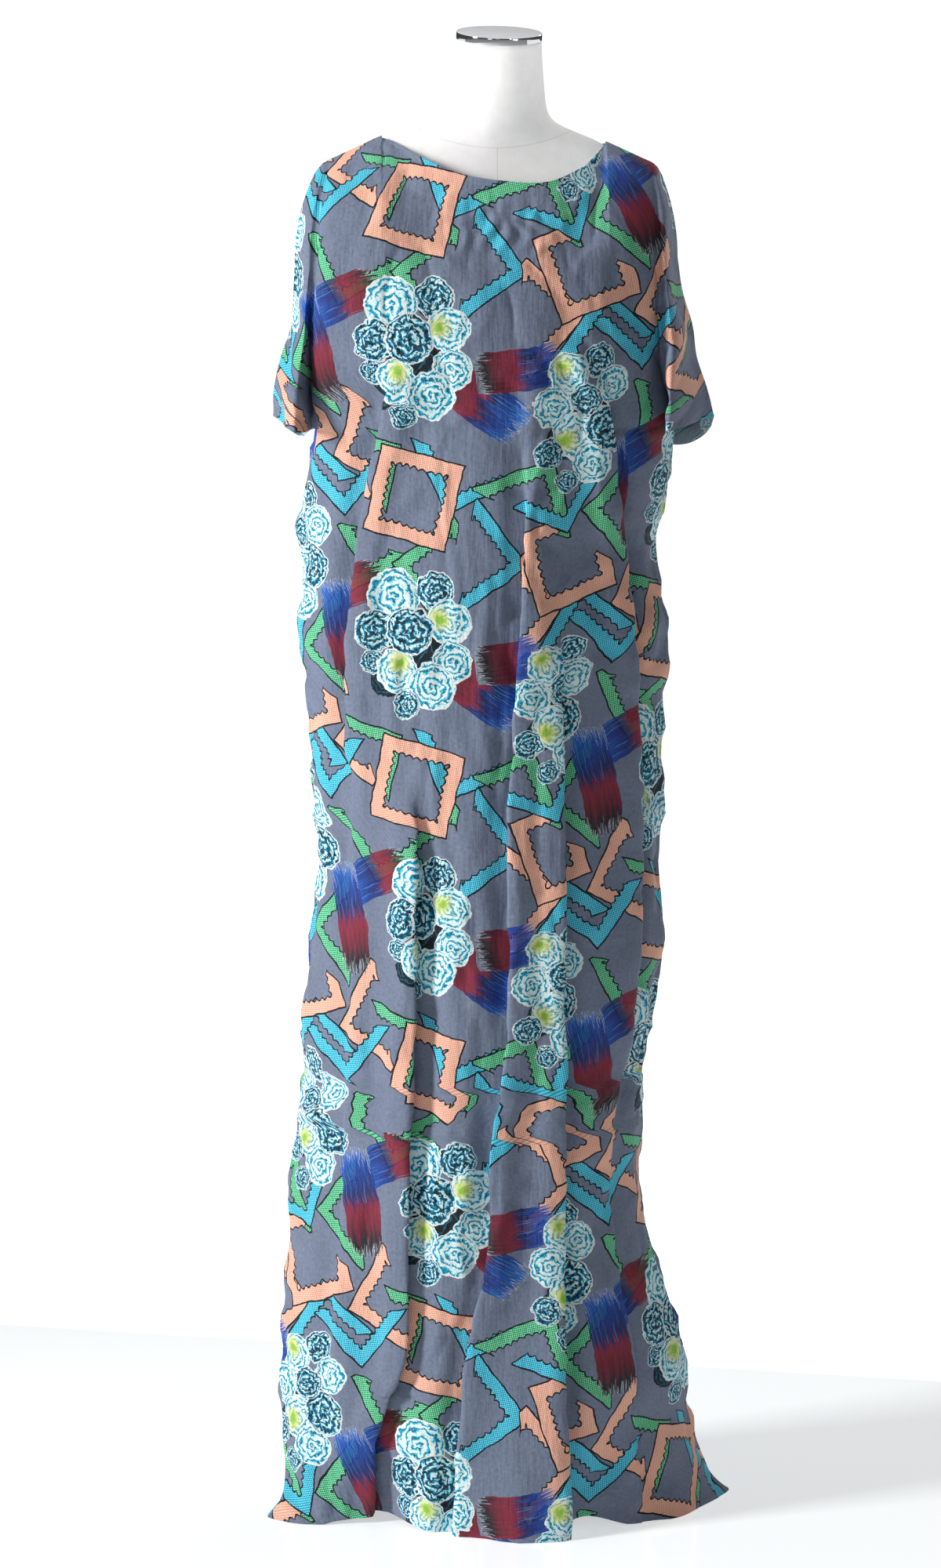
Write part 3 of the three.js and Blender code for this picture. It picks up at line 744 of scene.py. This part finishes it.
CREASE_STRENGTH = 1.35
CREASE_WANDER = 0.006
CREASES = {
    FRONT: table("x1 z1 x2 z2 width depth", [
        [-18, 1568, -46, 1520, 7, -2.2], [-6, 1570, -16, 1500, 6, -2.4],
        [8, 1566, 4, 1490, 7, -2.0], [20, 1560, 34, 1505, 6, -1.8],
        [34, 1556, 58, 1518, 7, -1.6], [-34, 1566, -80, 1535, 8, -1.8],
        [-60, 1500, -22, 1528, 6, -1.4], [60, 1490, 30, 1530, 6, -1.2],
        [-58, 1300, -52, 1020, 5, -1.6], [-20, 1260, -16, 900, 6, -1.8],
        [8, 1180, 2, 760, 5, -1.5], [48, 1330, 50, 1090, 6, -1.6],
        [-76, 980, -66, 700, 6, -1.8], [-40, 830, -30, 520, 6, -1.6],
        [40, 900, 44, 600, 5, -1.6], [104, 1100, 110, 820, 7, -2.0],
        [98, 760, 104, 420, 7, -2.0], [-130, 1150, -120, 900, 8, -2.0],
        [-150, 860, -140, 560, 8, -2.2], [-64, 520, -70, 250, 7, -1.8],
        [10, 520, 0, 300, 6, -1.6], [40, 420, 52, 140, 7, -1.8],
        [-236, 170, -96, 163, 4, -3.4], [-20, 166, 40, 164, 4, -2.0],
        [-215, 176, -120, 152, 7, 2.4], [-110, 420, -160, 380, 8, -2.2],
        [-170, 470, -110, 500, 7, -2.0], [-190, 640, -120, 600, 8, -2.0],
        [-180, 760, -120, 790, 7, -2.2], [-196, 930, -130, 900, 8, -2.2],
        [140, 700, 186, 730, 7, -2.0], [130, 540, 170, 510, 7, -2.0],
        [150, 930, 190, 900, 8, -2.2], [100, 330, 160, 300, 8, -2.0],
        [-150, 1330, -190, 1290, 8, -2.0], [-120, 1420, -190, 1380, 9, -2.2],
        [110, 1430, 170, 1400, 9, -2.0], [60, 1400, 130, 1330, 10, -2.0],
    ]),
    BACK: table("x1 z1 x2 z2 width depth", [
        [-30, 1600, -60, 1540, 8, -1.8], [0, 1606, -4, 1530, 8, -1.8],
        [28, 1600, 50, 1545, 8, -1.6], [-110, 1500, -170, 1440, 9, -2.0],
        [100, 1500, 160, 1440, 9, -2.0], [-80, 1350, -74, 1050, 6, -1.8],
        [10, 1330, 14, 980, 6, -1.8], [84, 1250, 88, 900, 6, -1.8],
        [-18, 1000, -12, 640, 6, -1.8], [-96, 800, -90, 460, 7, -2.0],
        [70, 760, 78, 420, 7, -1.8], [-170, 940, -120, 900, 8, -2.2],
        [130, 880, 180, 850, 8, -2.2], [-180, 620, -120, 650, 8, -2.0],
        [120, 560, 170, 600, 8, -2.0], [-170, 300, -110, 330, 8, -2.0],
        [100, 260, 160, 300, 8, -2.0], [-100, 166, 150, 168, 4, -1.4],
    ]),
}


def crease_depth(crease, x, z):
    """How far one crease sinks the cloth at a flat place: deep in its middle, gone at its ends."""
    along_x, along_z = crease["x2"] - crease["x1"], crease["z2"] - crease["z1"]
    length = math.hypot(along_x, along_z)
    from_x, from_z = x - crease["x1"], z - crease["z1"]
    along = (from_x * along_x + from_z * along_z) / length ** 2
    if not 0 < along < 1:
        return 0
    off = (from_x * along_z - from_z * along_x) / length
    off += CREASE_WANDER * math.sin(along * 9 + crease["x1"] * 400)
    t = off / crease["width"]
    if abs(t) > 3:
        return 0
    shape = math.exp(-t * t) - 0.45 * math.exp(-((abs(t) - 1.5) ** 2))
    return CREASE_STRENGTH * crease["depth"] * shape * bell(2 * along - 1) ** 0.5


TURNED_STEP = 0.0006
LOWEST = 0.0006
HEM_ROWS = 4
CUFF_ROWS = 2
NECK_ROWS = 3
BROAD_WAVES = 0.0022
SMALL_WAVES = 0.0014
SHARP_RIDGES = 0.0030
SHARP_VALLEYS = 0.0020
SEAM_PUCKERS = 0.0085


def turned_edge(rows, index, column):
    """Whether a place lies on the narrow edge that is turned in at the hem, a cuff or the neck."""
    on_sleeve = column <= SLEEVE_STEPS or column >= len(rows[0]) - 1 - SLEEVE_STEPS
    if on_sleeve:
        return rows[index - CUFF_ROWS - 1][column] is None
    in_neck = NECK_CORNERS["left"] < rows[-1][column].x < NECK_CORNERS["right"]
    return index <= HEM_ROWS or (in_neck and index >= len(rows) - 1 - NECK_ROWS)


def rumple(side, rows, flat):
    """Lays the creases and the cloth's small unevenness on a panel's grid."""
    out = normals(side, rows)
    moved = []
    for index, row in enumerate(rows):
        line = []
        filled = [column for column, point in enumerate(row) if point]
        for column, point in enumerate(row):
            if not point:
                line.append(None)
                continue
            x, z = flat[index][column]
            push = sum(crease_depth(crease, x, z) for crease in CREASES[side]
                       if abs(x - crease["x1"]) < 0.3)
            seed = side * 7.3
            push += BROAD_WAVES * noise.noise(Vector((x * 26, z * 4.5, seed)))
            push += SMALL_WAVES * noise.noise(Vector((x * 48, z * 22, seed + 4)))
            ridge = 1 - abs(noise.noise(Vector((x * 20 + z * 9, z * 13 - x * 6, seed + 9))))
            push += SHARP_RIDGES * (ridge ** 6 - 0.4)
            cross = 1 - abs(noise.noise(Vector((x * 9 - z * 16, z * 7 + x * 5, seed + 15))))
            push -= SHARP_VALLEYS * (cross ** 9 - 0.3)
            edge = min(abs(x - flat[index][filled[0]][0]), abs(x - flat[index][filled[-1]][0]))
            if z < CUFF_HEIGHT - 0.02:
                near_seam = math.exp(-(edge / 0.03) ** 2)
                push += near_seam * SEAM_PUCKERS * noise.noise(Vector((x * 28, z * 34, seed + 2)))
            settle = clamp((len(rows) - 1 - index) / 8) * clamp(edge / 0.006)
            if z < 0.012:
                settle *= 0.3
            turned = TURNED_STEP if turned_edge(rows, index, column) else 0
            moved_point = point + out[index][column] * (push * settle + turned)
            moved_point.z = max(moved_point.z, LOWEST)
            line.append(moved_point)
        moved.append(line)
    return moved


BACK_PRINT = (0.13, 0.21)


def new_piece(name, points, faces):
    """A new object with a mesh of these points and faces."""
    mesh = bpy.data.meshes.new(name)
    mesh.from_pydata(points, [], faces)
    piece = bpy.data.objects.new(name, mesh)
    bpy.context.collection.objects.link(piece)
    return piece


def sew_panel(name, side):
    rows, cuff_row, chest_row = panel_grid(side)
    flat = flat_places(rows, chest_row)
    rows = rumple(side, rows, flat)
    points, places, number = [], [], {}
    for index, row in enumerate(rows):
        for column, point in enumerate(row):
            if point:
                number[index, column] = len(points)
                points.append(point + DESIGN_SHIFT)
                places.append(flat[index][column])
    faces = []
    for index in range(len(rows) - 1):
        for column in range(len(rows[0]) - 1):
            corners = [(index, column), (index, column + 1),
                       (index + 1, column + 1), (index + 1, column)]
            if all(corner in number for corner in corners):
                face = [number[corner] for corner in corners]
                faces.append(face if side == FRONT else face[::-1])
    panel = new_piece(name, points, faces)
    print_map = panel.data.uv_layers.new(name="Cloth")
    for loop in panel.data.loops:
        x, z = places[loop.vertex_index]
        if side == BACK:
            x, z = BACK_PRINT[0] - x, z + BACK_PRINT[1]
        print_map.data[loop.index].uv = (x, z)
    return panel, rows


REPEAT_WIDTH = 0.40
REPEAT_HEIGHT = 0.335
CHECK_SIZE = 0.0023
SCALLOP_SIZE = 0.0095
PEACH, CYAN, GREEN = 0, 1, 2
PALE, LIMED, DEEP, LEAF = 0, 0.4, 1, 2
GROUP_MIDDLES = {
    "left roses": (-0.100, 0.050), "right roses": (0.100, -0.020),
    "left frames": (-0.100, -0.1175), "right frames": (0.100, 0.1475),
}
ROSES = {
    "left roses": table("x y radius tone turn", [
        [2, -6, 34, LEAF, 0.4], [-34, -46, 20, LEAF, 1.1],
        [-24, 54, 32, PALE, 0.3], [26, 62, 23, DEEP, 1.2], [42, 26, 26, LIMED, 2.1],
        [-46, 12, 25, DEEP, 0.8], [46, -20, 24, PALE, 1.7], [-50, -24, 14, DEEP, 1.0],
        [-20, -34, 26, LIMED, 0.5], [22, -50, 28, PALE, 1.9], [-4, 14, 29, DEEP, 2.6],
        [-10, -73, 16, DEEP, 2.3],
    ]),
    "right roses": table("x y radius tone turn", [
        [0, 4, 30, LEAF, 0.7], [-26, -34, 20, LEAF, 0.2],
        [16, 60, 21, DEEP, 0.7], [-20, 46, 24, LIMED, 1.5], [36, 30, 23, PALE, 2.4],
        [-38, 8, 24, PALE, 1.9], [-12, -26, 26, LIMED, 2.9], [-42, -46, 18, DEEP, 0.2],
        [10, -58, 24, PALE, 1.4], [27, -18, 27, DEEP, 1.0], [2, 16, 19, DEEP, 0.3],
        [-18, -78, 14, DEEP, 2.0],
    ]),
}
FRAMES = {
    "left frames": table("x y turn half band cut ink", [
        [62, 48, 0.42, 50, 18, -6, CYAN], [-70, -54, 0.52, 47, 17, 6, GREEN],
        [-74, 62, -0.5, 48, 18, 8, PEACH], [66, -66, 2.2, 48, 18, 4, CYAN],
        [-62, 30, 2.9, 40, 16, 0, GREEN], [40, -84, -0.9, 46, 17, 10, GREEN],
        [0, 0, -0.24, 50, 19, 200, PEACH],
    ]),
    "right frames": table("x y turn half band cut ink", [
        [-66, 54, 3.5, 50, 18, 4, GREEN], [70, -54, 0.9, 49, 18, 0, CYAN],
        [-66, -58, 2.4, 48, 18, 10, PEACH], [72, 60, -0.7, 47, 17, 4, GREEN],
        [-30, 84, 1.2, 42, 17, 2, CYAN], [30, -88, -2.2, 44, 17, 4, CYAN],
        [2, 0, 0.33, 52, 19, 30, PEACH],
    ]),
}
STROKES = {
    "left roses": table("x y turn length width", [[80, -54, 2.5, 58, 26], [-82, 58, 0.4, 52, 24]]),
    "right roses": table("x y turn length width", [[-78, 52, 3.3, 50, 24], [74, -94, -1.35, 66, 24]]),
}
CHECK_INKS = {
    CYAN: (dye(120, 234, 250), dye(26, 148, 184)),
    GREEN: (dye(150, 236, 184), dye(34, 142, 100)),
    PEACH: (dye(250, 212, 190), dye(224, 152, 128)),
}


def printed_rayon(name, fade):
    """The dress cloth. Its print is a half-drop repeat on the panel's own flat places."""
    start, shader = new_finish(name)
    cloth = start.node("UVMap", uv_map="Cloth")

    def wander(scale, detail, reach):
        """The cloth's flat places, each pushed about a little."""
        push = start.noise(cloth, scale, detail, output=1)
        push = start.node("VectorMath", {0: push, 1: (0.5, 0.5, 0.5)}, operation="SUBTRACT")
        return start.node("VectorMath", {0: push, 1: (reach, reach, 0), 2: cloth},
                          operation="MULTIPLY_ADD")

    def repeat(place, middle):
        """Places round the nearest copy of a group's middle."""
        x, y, _ = place.xyz()
        column = start.maths("ROUND", (x - middle[0]) / REPEAT_WIDTH)
        local_x = x - middle[0] - column * REPEAT_WIDTH
        local_y = start.maths("WRAP", y - middle[1] - column * (REPEAT_HEIGHT / 2),
                              REPEAT_HEIGHT / 2, -REPEAT_HEIGHT / 2)
        return start.node("CombineXYZ", {0: local_x, 1: local_y})

    def turned(place, row, tone=0.0, scale=(1, 1, 1)):
        return start.node("Mapping", {"Vector": place, "Location": (row["x"], row["y"], -tone),
                                      "Rotation": (0, 0, row["turn"]), "Scale": scale},
                          vector_type="TEXTURE")

    def lesser(a, b):
        return start.maths("MINIMUM", a, b)

    def greater(a, b):
        return start.maths("MAXIMUM", a, b)

    tilted = start.node("Mapping", {"Vector": cloth, "Rotation": (0, 0, 0.2)}, vector_type="TEXTURE")
    check_x, check_y, _ = tilted.xyz()
    lines = [start.maths("SINE", value * (2 * math.pi / CHECK_SIZE)) for value in (check_x, check_y)]
    check = greater(lines[0], lines[1]) > 0.3
    checks = {ink: start.node("Mix", {0: check, 6: light, 7: dark}, output=2, data_type="RGBA")
              for ink, (light, dark) in CHECK_INKS.items()}
    ground_noise = start.noise(cloth, 240, 4)
    colour = ground_noise.ramp((0.3, dye(104, 114, 135)), (0.7, dye(120, 130, 152)))

    drawn = wander(24, 3, 0.011)
    for group, rows in FRAMES.items():
        place = repeat(drawn, GROUP_MIDDLES[group])
        for row in rows:
            x, y, _ = turned(place, row).xyz()
            span = greater(abs(x), abs(y))
            along = lesser(abs(x), abs(y))
            scallops = abs(start.maths("SINE", along * (math.pi / SCALLOP_SIZE))) * 0.0032
            edge = greater(span - row["half"], row["half"] - row["band"] + scallops - span)
            if row["cut"] < row["half"]:
                edge = greater(edge, x + y - row["cut"])
            colour = colour.mixed(checks[row["ink"]], edge < 0)
            colour = colour.mixed(dye(16, 16, 22), abs(edge) < 0.0010)

    brushed = wander(40, 2, 0.007)
    stroke = start.node("CombineXYZ", {0: 0.0, 1: 9.0, 2: 0.0})
    stroke_number = 0
    for group, rows in STROKES.items():
        place = repeat(brushed, GROUP_MIDDLES[group])
        for row in rows:
            stroke_number += 1
            local = turned(place, row, scale=(row["length"], row["width"], 1))
            x, y, _ = local.xyz()
            bent = y + 0.22 * x * x - 0.1
            inside = greater(abs(x), abs(bent)) < 1
            marked = start.node("CombineXYZ", {0: x, 1: bent, 2: stroke_number * 3.7})
            stroke = start.node("Mix", {0: inside, 4: stroke, 5: marked}, output=1, data_type="VECTOR")
    x, y, mark = stroke.xyz()
    bristle_place = start.node("CombineXYZ", {0: x * 1.1, 1: y * 17, 2: mark})
    bristles = start.noise(bristle_place, 1, 3, Roughness=0.6)
    patches = start.noise(bristle_place, 0.35, 2)
    sparse = 0.2 + 0.40 * abs(x) ** 3 + 0.16 * abs(y) ** 4
    painted = (bristles > sparse) * (abs(y) < 1)
    ink = (x * 0.5 + 0.5 + (patches - 0.5) * 0.4).ramp(
        (0.0, dye(16, 98, 188)), (0.25, dye(10, 58, 150)), (0.42, dye(16, 26, 94)),
        (0.55, dye(136, 22, 46)), (0.74, dye(104, 12, 32)), (0.86, dye(24, 14, 22)), (1.0, dye(10, 10, 14)))
    ink = ink.mixed(dye(64, 132, 196), (bristles > 0.6) * (x < 0) * 0.75)
    ink = ink.mixed(dye(16, 26, 78), (bristles < 0.42) * (x < 0) * 0.6)
    colour = colour.mixed(ink, painted * 0.93)
    bare_streaks = (abs(bristles - sparse) < 0.014) * (abs(y) < 1) * (abs(x) > 0.5)
    colour = colour.mixed(dye(226, 222, 222), bare_streaks * 0.8)

    ragged = wander(75, 3, 0.0125)
    rose = start.node("CombineXYZ", {0: 9.0, 1: 0.0, 2: 0.0})
    for group, rows in ROSES.items():
        place = repeat(ragged, GROUP_MIDDLES[group])
        for row in rows:
            local = turned(place, row, tone=row["tone"], scale=(row["radius"], row["radius"], 1))
            flat = start.node("VectorMath", {0: local, 1: (1, 1, 0)}, operation="MULTIPLY")
            inside = start.node("VectorMath", {0: flat}, output=1, operation="LENGTH") < 1
            rose = start.node("Mix", {0: inside, 4: rose, 5: local}, output=1, data_type="VECTOR")
    x, y, tone = rose.xyz()
    distance = start.maths("SQRT", x * x + y * y)
    angle = start.maths("ARCTAN2", y, x)
    strokes_place = start.node("CombineXYZ", {0: x * 3.2, 1: y * 3.2, 2: tone * 40})
    dabs = start.noise(strokes_place, 1, 4, Roughness=0.62)
    breaks = start.noise(strokes_place, 1.9, 2)
    curl = distance * 3.7 + angle / (2 * math.pi) + (dabs - 0.5) * 2.3
    curl = curl + abs(start.maths("SINE", angle * 2.5 + distance * 3)) * 0.25
    petal = start.maths("FRACT", curl)
    pale = petal.ramp(
        (0.0, dye(230, 238, 234)), (0.26, dye(220, 236, 232)), (0.36, dye(56, 198, 224)),
        (0.5, dye(0, 150, 186)), (0.64, dye(0, 70, 96)), (0.74, dye(14, 168, 204)),
        (0.85, dye(170, 226, 232)), (1.0, dye(232, 240, 236)))
    pale = pale.mixed(dye(230, 238, 234), (breaks > 0.60) * 0.9)
    deep = petal.ramp(
        (0.0, dye(220, 238, 238)), (0.14, dye(190, 226, 230)), (0.22, dye(20, 174, 214)),
        (0.36, dye(0, 112, 142)), (0.5, dye(0, 36, 52)), (0.66, dye(0, 84, 112)),
        (0.78, dye(10, 166, 208)), (0.88, dye(204, 234, 236)))
    deep = deep.mixed(dye(2, 16, 24), (breaks < 0.44) * 0.95)
    flower = pale.mixed(deep, tone > 0.7)
    leaf = petal.ramp((0.0, dye(10, 16, 22)), (0.45, dye(4, 40, 56)), (0.62, dye(8, 118, 152)),
                      (0.7, dye(14, 20, 26)), (1.0, dye(10, 16, 22)))
    flower = flower.mixed(leaf, tone > 1.5)
    blush = start.node("VectorMath", {0: rose, 1: (0.3, 0.3, 0.4)}, output=1, operation="DISTANCE")
    limed = start.node("Clamp", {0: (0.66 - blush) * 1.9 * (tone > 0.2) * (tone < 0.7)})
    flower = flower.mixed(limed.ramp((0.0, dye(240, 236, 150)), (0.75, dye(208, 216, 70)),
                                     (1.0, dye(140, 188, 70))), limed)
    rim = start.node("MapRange", {0: distance, 1: 0.93, 2: 0.95, 3: 0.0, 4: 0.85})
    flower = flower.mixed(dye(234, 238, 236), rim * (tone < 1.5))
    colour = colour.mixed(flower, distance < 3)
    if fade:
        colour = colour.mixed(dye(150, 154, 166), fade)

    warp, weft, _ = cloth.xyz()
    threads = [start.maths("SINE", value * (2 * math.pi / 0.0007)) for value in (warp, weft)]
    crumple = start.noise(cloth, 55, 5, Roughness=0.55)
    streaks = start.node("VectorMath", {0: cloth, 1: (210, 34, 1)}, operation="MULTIPLY")
    fine = start.noise(streaks, 1, 3)
    height = (threads[0] * threads[1]) * 0.05 + crumple * 1.8 + fine * 1.2
    bump = start.node("Bump", {"Strength": 0.7, "Distance": 0.0014, "Height": height})
    tint = start.noise(cloth, 1400, 1)
    colour = colour.mixed(dye(255, 255, 255), (tint > 0.62) * 0.03)
    return set_finish(start, shader, Base_Color=colour, Roughness=0.6 + 0.12 * crumple, Normal=bump,
                      Sheen_Weight=0.04, Sheen_Roughness=0.4, Specular_IOR_Level=0.25)


def sewing_thread():
    start, shader = new_finish("grey_thread")
    place = start.node("TexCoord", output=3)
    twist = start.node("TexWave", {"Vector": place, "Scale": 1300, "Distortion": 3}, output=1)
    colour = twist.ramp((0.2, dye(158, 161, 172)), (0.8, dye(186, 189, 198)))
    bump = start.node("Bump", {"Strength": 0.4, "Distance": 0.0001, "Height": twist})
    return set_finish(start, shader, Base_Color=colour, Roughness=0.55 + 0.1 * twist, Normal=bump)


STITCH_PITCH = 0.0036
STITCH_LENGTH = 0.0027
THREAD_RADIUS = 0.00028


def add_stitch(start, end, out, points, faces):
    """One stitch as a small closed tube with narrow ends, bowed a little off the cloth."""
    along = end - start
    across = along.cross(out).normalized()
    first = len(points)
    points.append(start)
    for share, fullness in ((0.14, 0.75), (0.5, 1.0), (0.86, 0.75)):
        middle = start + along * share + out * THREAD_RADIUS * fullness
        for corner in range(6):
            angle = corner * math.pi / 3
            swing = across * math.cos(angle) + out * math.sin(angle)
            points.append(middle + swing * THREAD_RADIUS * fullness)
    points.append(end)
    for corner in range(6):
        after = (corner + 1) % 6
        faces.append((first, first + 1 + after, first + 1 + corner))
        for ring in (1, 7):
            faces.append((first + ring + corner, first + ring + after,
                          first + ring + 6 + after, first + ring + 6 + corner))
        faces.append((first + 19, first + 13 + corner, first + 13 + after))


def stitch_lines(side, rows):
    """Where a panel's stitching runs: round the hem, the cuffs and the neck."""
    cuff_row = next(index for index, row in enumerate(rows) if row[0])
    last = len(rows[0]) - 1
    body = range(SLEEVE_STEPS + 1, last - SLEEVE_STEPS)
    neck = [column for column in body
            if NECK_CORNERS["left"] < rows[-1][column].x < NECK_CORNERS["right"]]
    return [
        [(HEM_ROWS, column) for column in body],
        [(len(rows) - 1 - NECK_ROWS, column) for column in neck],
        [(cuff_row + CUFF_ROWS, column) for column in range(SLEEVE_STEPS + 1)],
        [(cuff_row + CUFF_ROWS, column) for column in range(last - SLEEVE_STEPS, last + 1)],
    ]


def sew_stitches(name, side, rows):
    out = normals(side, rows)
    points, faces = [], []
    for line in stitch_lines(side, rows):
        waiting = STITCH_PITCH / 2
        for (row, column), (next_row, next_column) in zip(line, line[1:]):
            here, there = rows[row][column], rows[next_row][next_column]
            span = (there - here).length
            direction = (there - here).normalized()
            while waiting < span:
                outward = out[row][column].lerp(out[next_row][next_column], waiting / span)
                outward.normalize()
                middle = here + direction * waiting + outward * CLOTH_THICKNESS * 0.5 + DESIGN_SHIFT
                half = direction * STITCH_LENGTH / 2
                add_stitch(middle - half, middle + half, outward, points, faces)
                waiting += STITCH_PITCH
            waiting -= span
    stitches = alone(new_piece(name, points, faces))
    bpy.ops.object.mode_set(mode="EDIT")
    bpy.ops.mesh.select_all(action="SELECT")
    bpy.ops.mesh.normals_make_consistent(inside=False)
    bpy.ops.object.mode_set(mode="OBJECT")
    bpy.ops.object.shade_smooth()
    return stitches


face_side = printed_rayon("printed_rayon", 0)
reverse_side = printed_rayon("printed_rayon_reverse", 0.35)
thread = sewing_thread()
for panel_name, panel_side, node_name in (
        ("front_panel", FRONT, "front"), ("back_panel", BACK, "back")):
    cloth_panel, cloth_rows = sew_panel(panel_name, panel_side)
    cloth_panel.data.materials.append(face_side)
    cloth_panel.data.materials.append(reverse_side)
    apply_modifier(cloth_panel, "SOLIDIFY", thickness=CLOTH_THICKNESS, offset=0, material_offset=1)
    bpy.ops.object.shade_smooth_by_angle(angle=math.radians(70))
    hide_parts(node_name)
    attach(cloth_panel, "root")
    stitches = sew_stitches(node_name + "_stitches", panel_side, cloth_rows)
    stitches.data.materials.append(thread)
    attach(stitches, "root")


# Room
# A pale flat floor under a white studio, one large soft light from the front left with weaker
# ones round it, and the camera at a person's height, looking slightly down.
CAMERA_HEIGHT = 2.0
CAMERA_PLACE = (-0.0352, -6.3888, CAMERA_HEIGHT)
CAMERA_DOWN = math.radians(10)
FOCAL_LENGTH_MM = 127.17
FLOOR_REACH = 14
BOARD_END = 0.65
BOARD_SLANT = 0.22
# Painted light: how strongly the floor glows near the dress, and how strongly it glows white beyond the
# board.
NEAR_PAINTED_LIGHT = 0.55
FAR_GLOW = 0.9
CARD_LOW = 1.2
CARD_HIGH = 1.8


def pale_floor():
    """A wide floor. A slightly duller board lies under the dress and ends a little behind it. The floor
    glows: round the dress this glow is painted light that lightens the shadows there, and beyond the board
    it is an even white.
    """
    start, shader = new_finish("pale_floor")
    place = start.node("TexCoord", output=3)
    x, y, _ = place.xyz()
    clouds = start.noise(place, 1.2, 3)
    board = clouds.ramp((0.3, dye(226, 230, 231)), (0.7, dye(233, 236, 237)))
    beyond = start.node("MapRange", {0: y + x * BOARD_SLANT, 1: BOARD_END - 0.01, 2: BOARD_END + 0.01,
                                     3: 0.0, 4: 1.0})
    # Painted light: the floor glows most within about a metre of the dress and less further off, which
    # lightens the shadows cast there.
    away = start.maths("SQRT", x * x + y * y)
    near = start.node("MapRange", {0: away, 1: 0.7, 2: 2.2, 3: 1.0, 4: 0.4})
    glow_with_painted_light = near * NEAR_PAINTED_LIGHT + beyond * FAR_GLOW
    painted_glow_colour = start.node("Mix", {0: glow_with_painted_light, 6: dye(0, 0, 0), 7: dye(250, 252, 253)}, output=2,
                       data_type="RGBA")
    finish = set_finish(start, shader, Base_Color=board.mixed(dye(250, 251, 252), beyond),
                        Roughness=0.10 + 0.04 * clouds, Specular_IOR_Level=0.5,
                        Emission_Color=painted_glow_colour, Emission_Strength=1.0)
    corners = [(x * FLOOR_REACH, y * FLOOR_REACH, 0) for x, y in ((-1, -1), (1, -1), (1, 1), (-1, 1))]
    floor = new_piece("studio_floor", corners, [(0, 1, 2, 3)])
    floor.data.materials.append(finish)
    return floor


pale_floor()


def glowing_card(name, start_x, start_y, end_x, end_y):
    """A plain card on its edge beyond the picture, which shows in the chrome. It glows with painted light
    in its own white, which also lights the room a little.
    """
    start, shader = new_finish(name)
    grain = start.noise(start.node("TexCoord", output=3), 40)
    white = grain.ramp((0.3, dye(232, 234, 236)), (0.7, dye(240, 242, 244)))
    # Painted light: the card emits its own white although it is no lamp.
    finish = set_finish(start, shader, Base_Color=white, Roughness=0.8, Emission_Color=white,
                        Emission_Strength=1.0)
    card = new_piece(name, [(start_x, start_y, CARD_LOW), (end_x, end_y, CARD_LOW),
                            (end_x, end_y, CARD_HIGH), (start_x, start_y, CARD_HIGH)], [(0, 1, 2, 3)])
    card.data.materials.append(finish)
    return card


glowing_card("left_card", -2.5, -4.3, -1.9, -5.3)
glowing_card("right_card", 2.2, -3.0, 2.45, -2.0)
glowing_card("front_card", -1.3, -8.2, 0.2, -8.2)


def soft_light(name, place, aim, size, power, spread=180):
    data = bpy.data.lights.new(name, "AREA")
    data.spread = math.radians(spread)
    data.shape = "RECTANGLE"
    data.size, data.size_y = size
    data.energy = power
    light = bpy.data.objects.new(name, data)
    light.location = place
    light.rotation_mode = "QUATERNION"
    light.rotation_quaternion = (Vector(aim) - Vector(place)).to_track_quat("-Z", "Y")
    bpy.context.collection.objects.link(light)


soft_light("key_light", (-4.6, -1.9, 2.6), (0, 0, 0.95), (0.9, 1.8), 300)
soft_light("fill_light", (-1.4, -5.6, 2.6), (0, 0, 0.8), (1.6, 2.0), 8)
soft_light("neck_light", (1.5, -2.6, 2.9), (0.01, 0, 1.74), (0.2, 0.2), 0.14, spread=8)
soft_light("top_light", (0.1, 0.3, 4.0), (0, 0, 1.6), (1.6, 1.0), 27)
soft_light("back_light", (2.6, 3.4, 2.8), (0, 0, 1.0), (1.6, 2.0), 34)

world = bpy.data.worlds.new("studio_air")
bpy.context.scene.world = world
world.use_nodes = True
air = world.node_tree.nodes["Background"]
air.inputs["Color"].default_value = dye(250, 251, 252)
seen = world.node_tree.nodes.new("ShaderNodeLightPath").outputs["Is Camera Ray"]
strength = world.node_tree.nodes.new("ShaderNodeMapRange")
strength.inputs["To Min"].default_value = 0.06
strength.inputs["To Max"].default_value = 1.1
world.node_tree.links.new(seen, strength.inputs["Value"])
world.node_tree.links.new(strength.outputs["Result"], air.inputs["Strength"])
bpy.context.scene.view_settings.view_transform = "Standard"

camera_data = bpy.data.cameras.new("camera")
camera_data.lens = FOCAL_LENGTH_MM
camera_data.sensor_width = 36
camera = bpy.data.objects.new("camera", camera_data)
camera.location = CAMERA_PLACE
camera.rotation_euler = (math.pi / 2 - CAMERA_DOWN, 0, 0)
bpy.context.collection.objects.link(camera)
bpy.context.scene.camera = camera
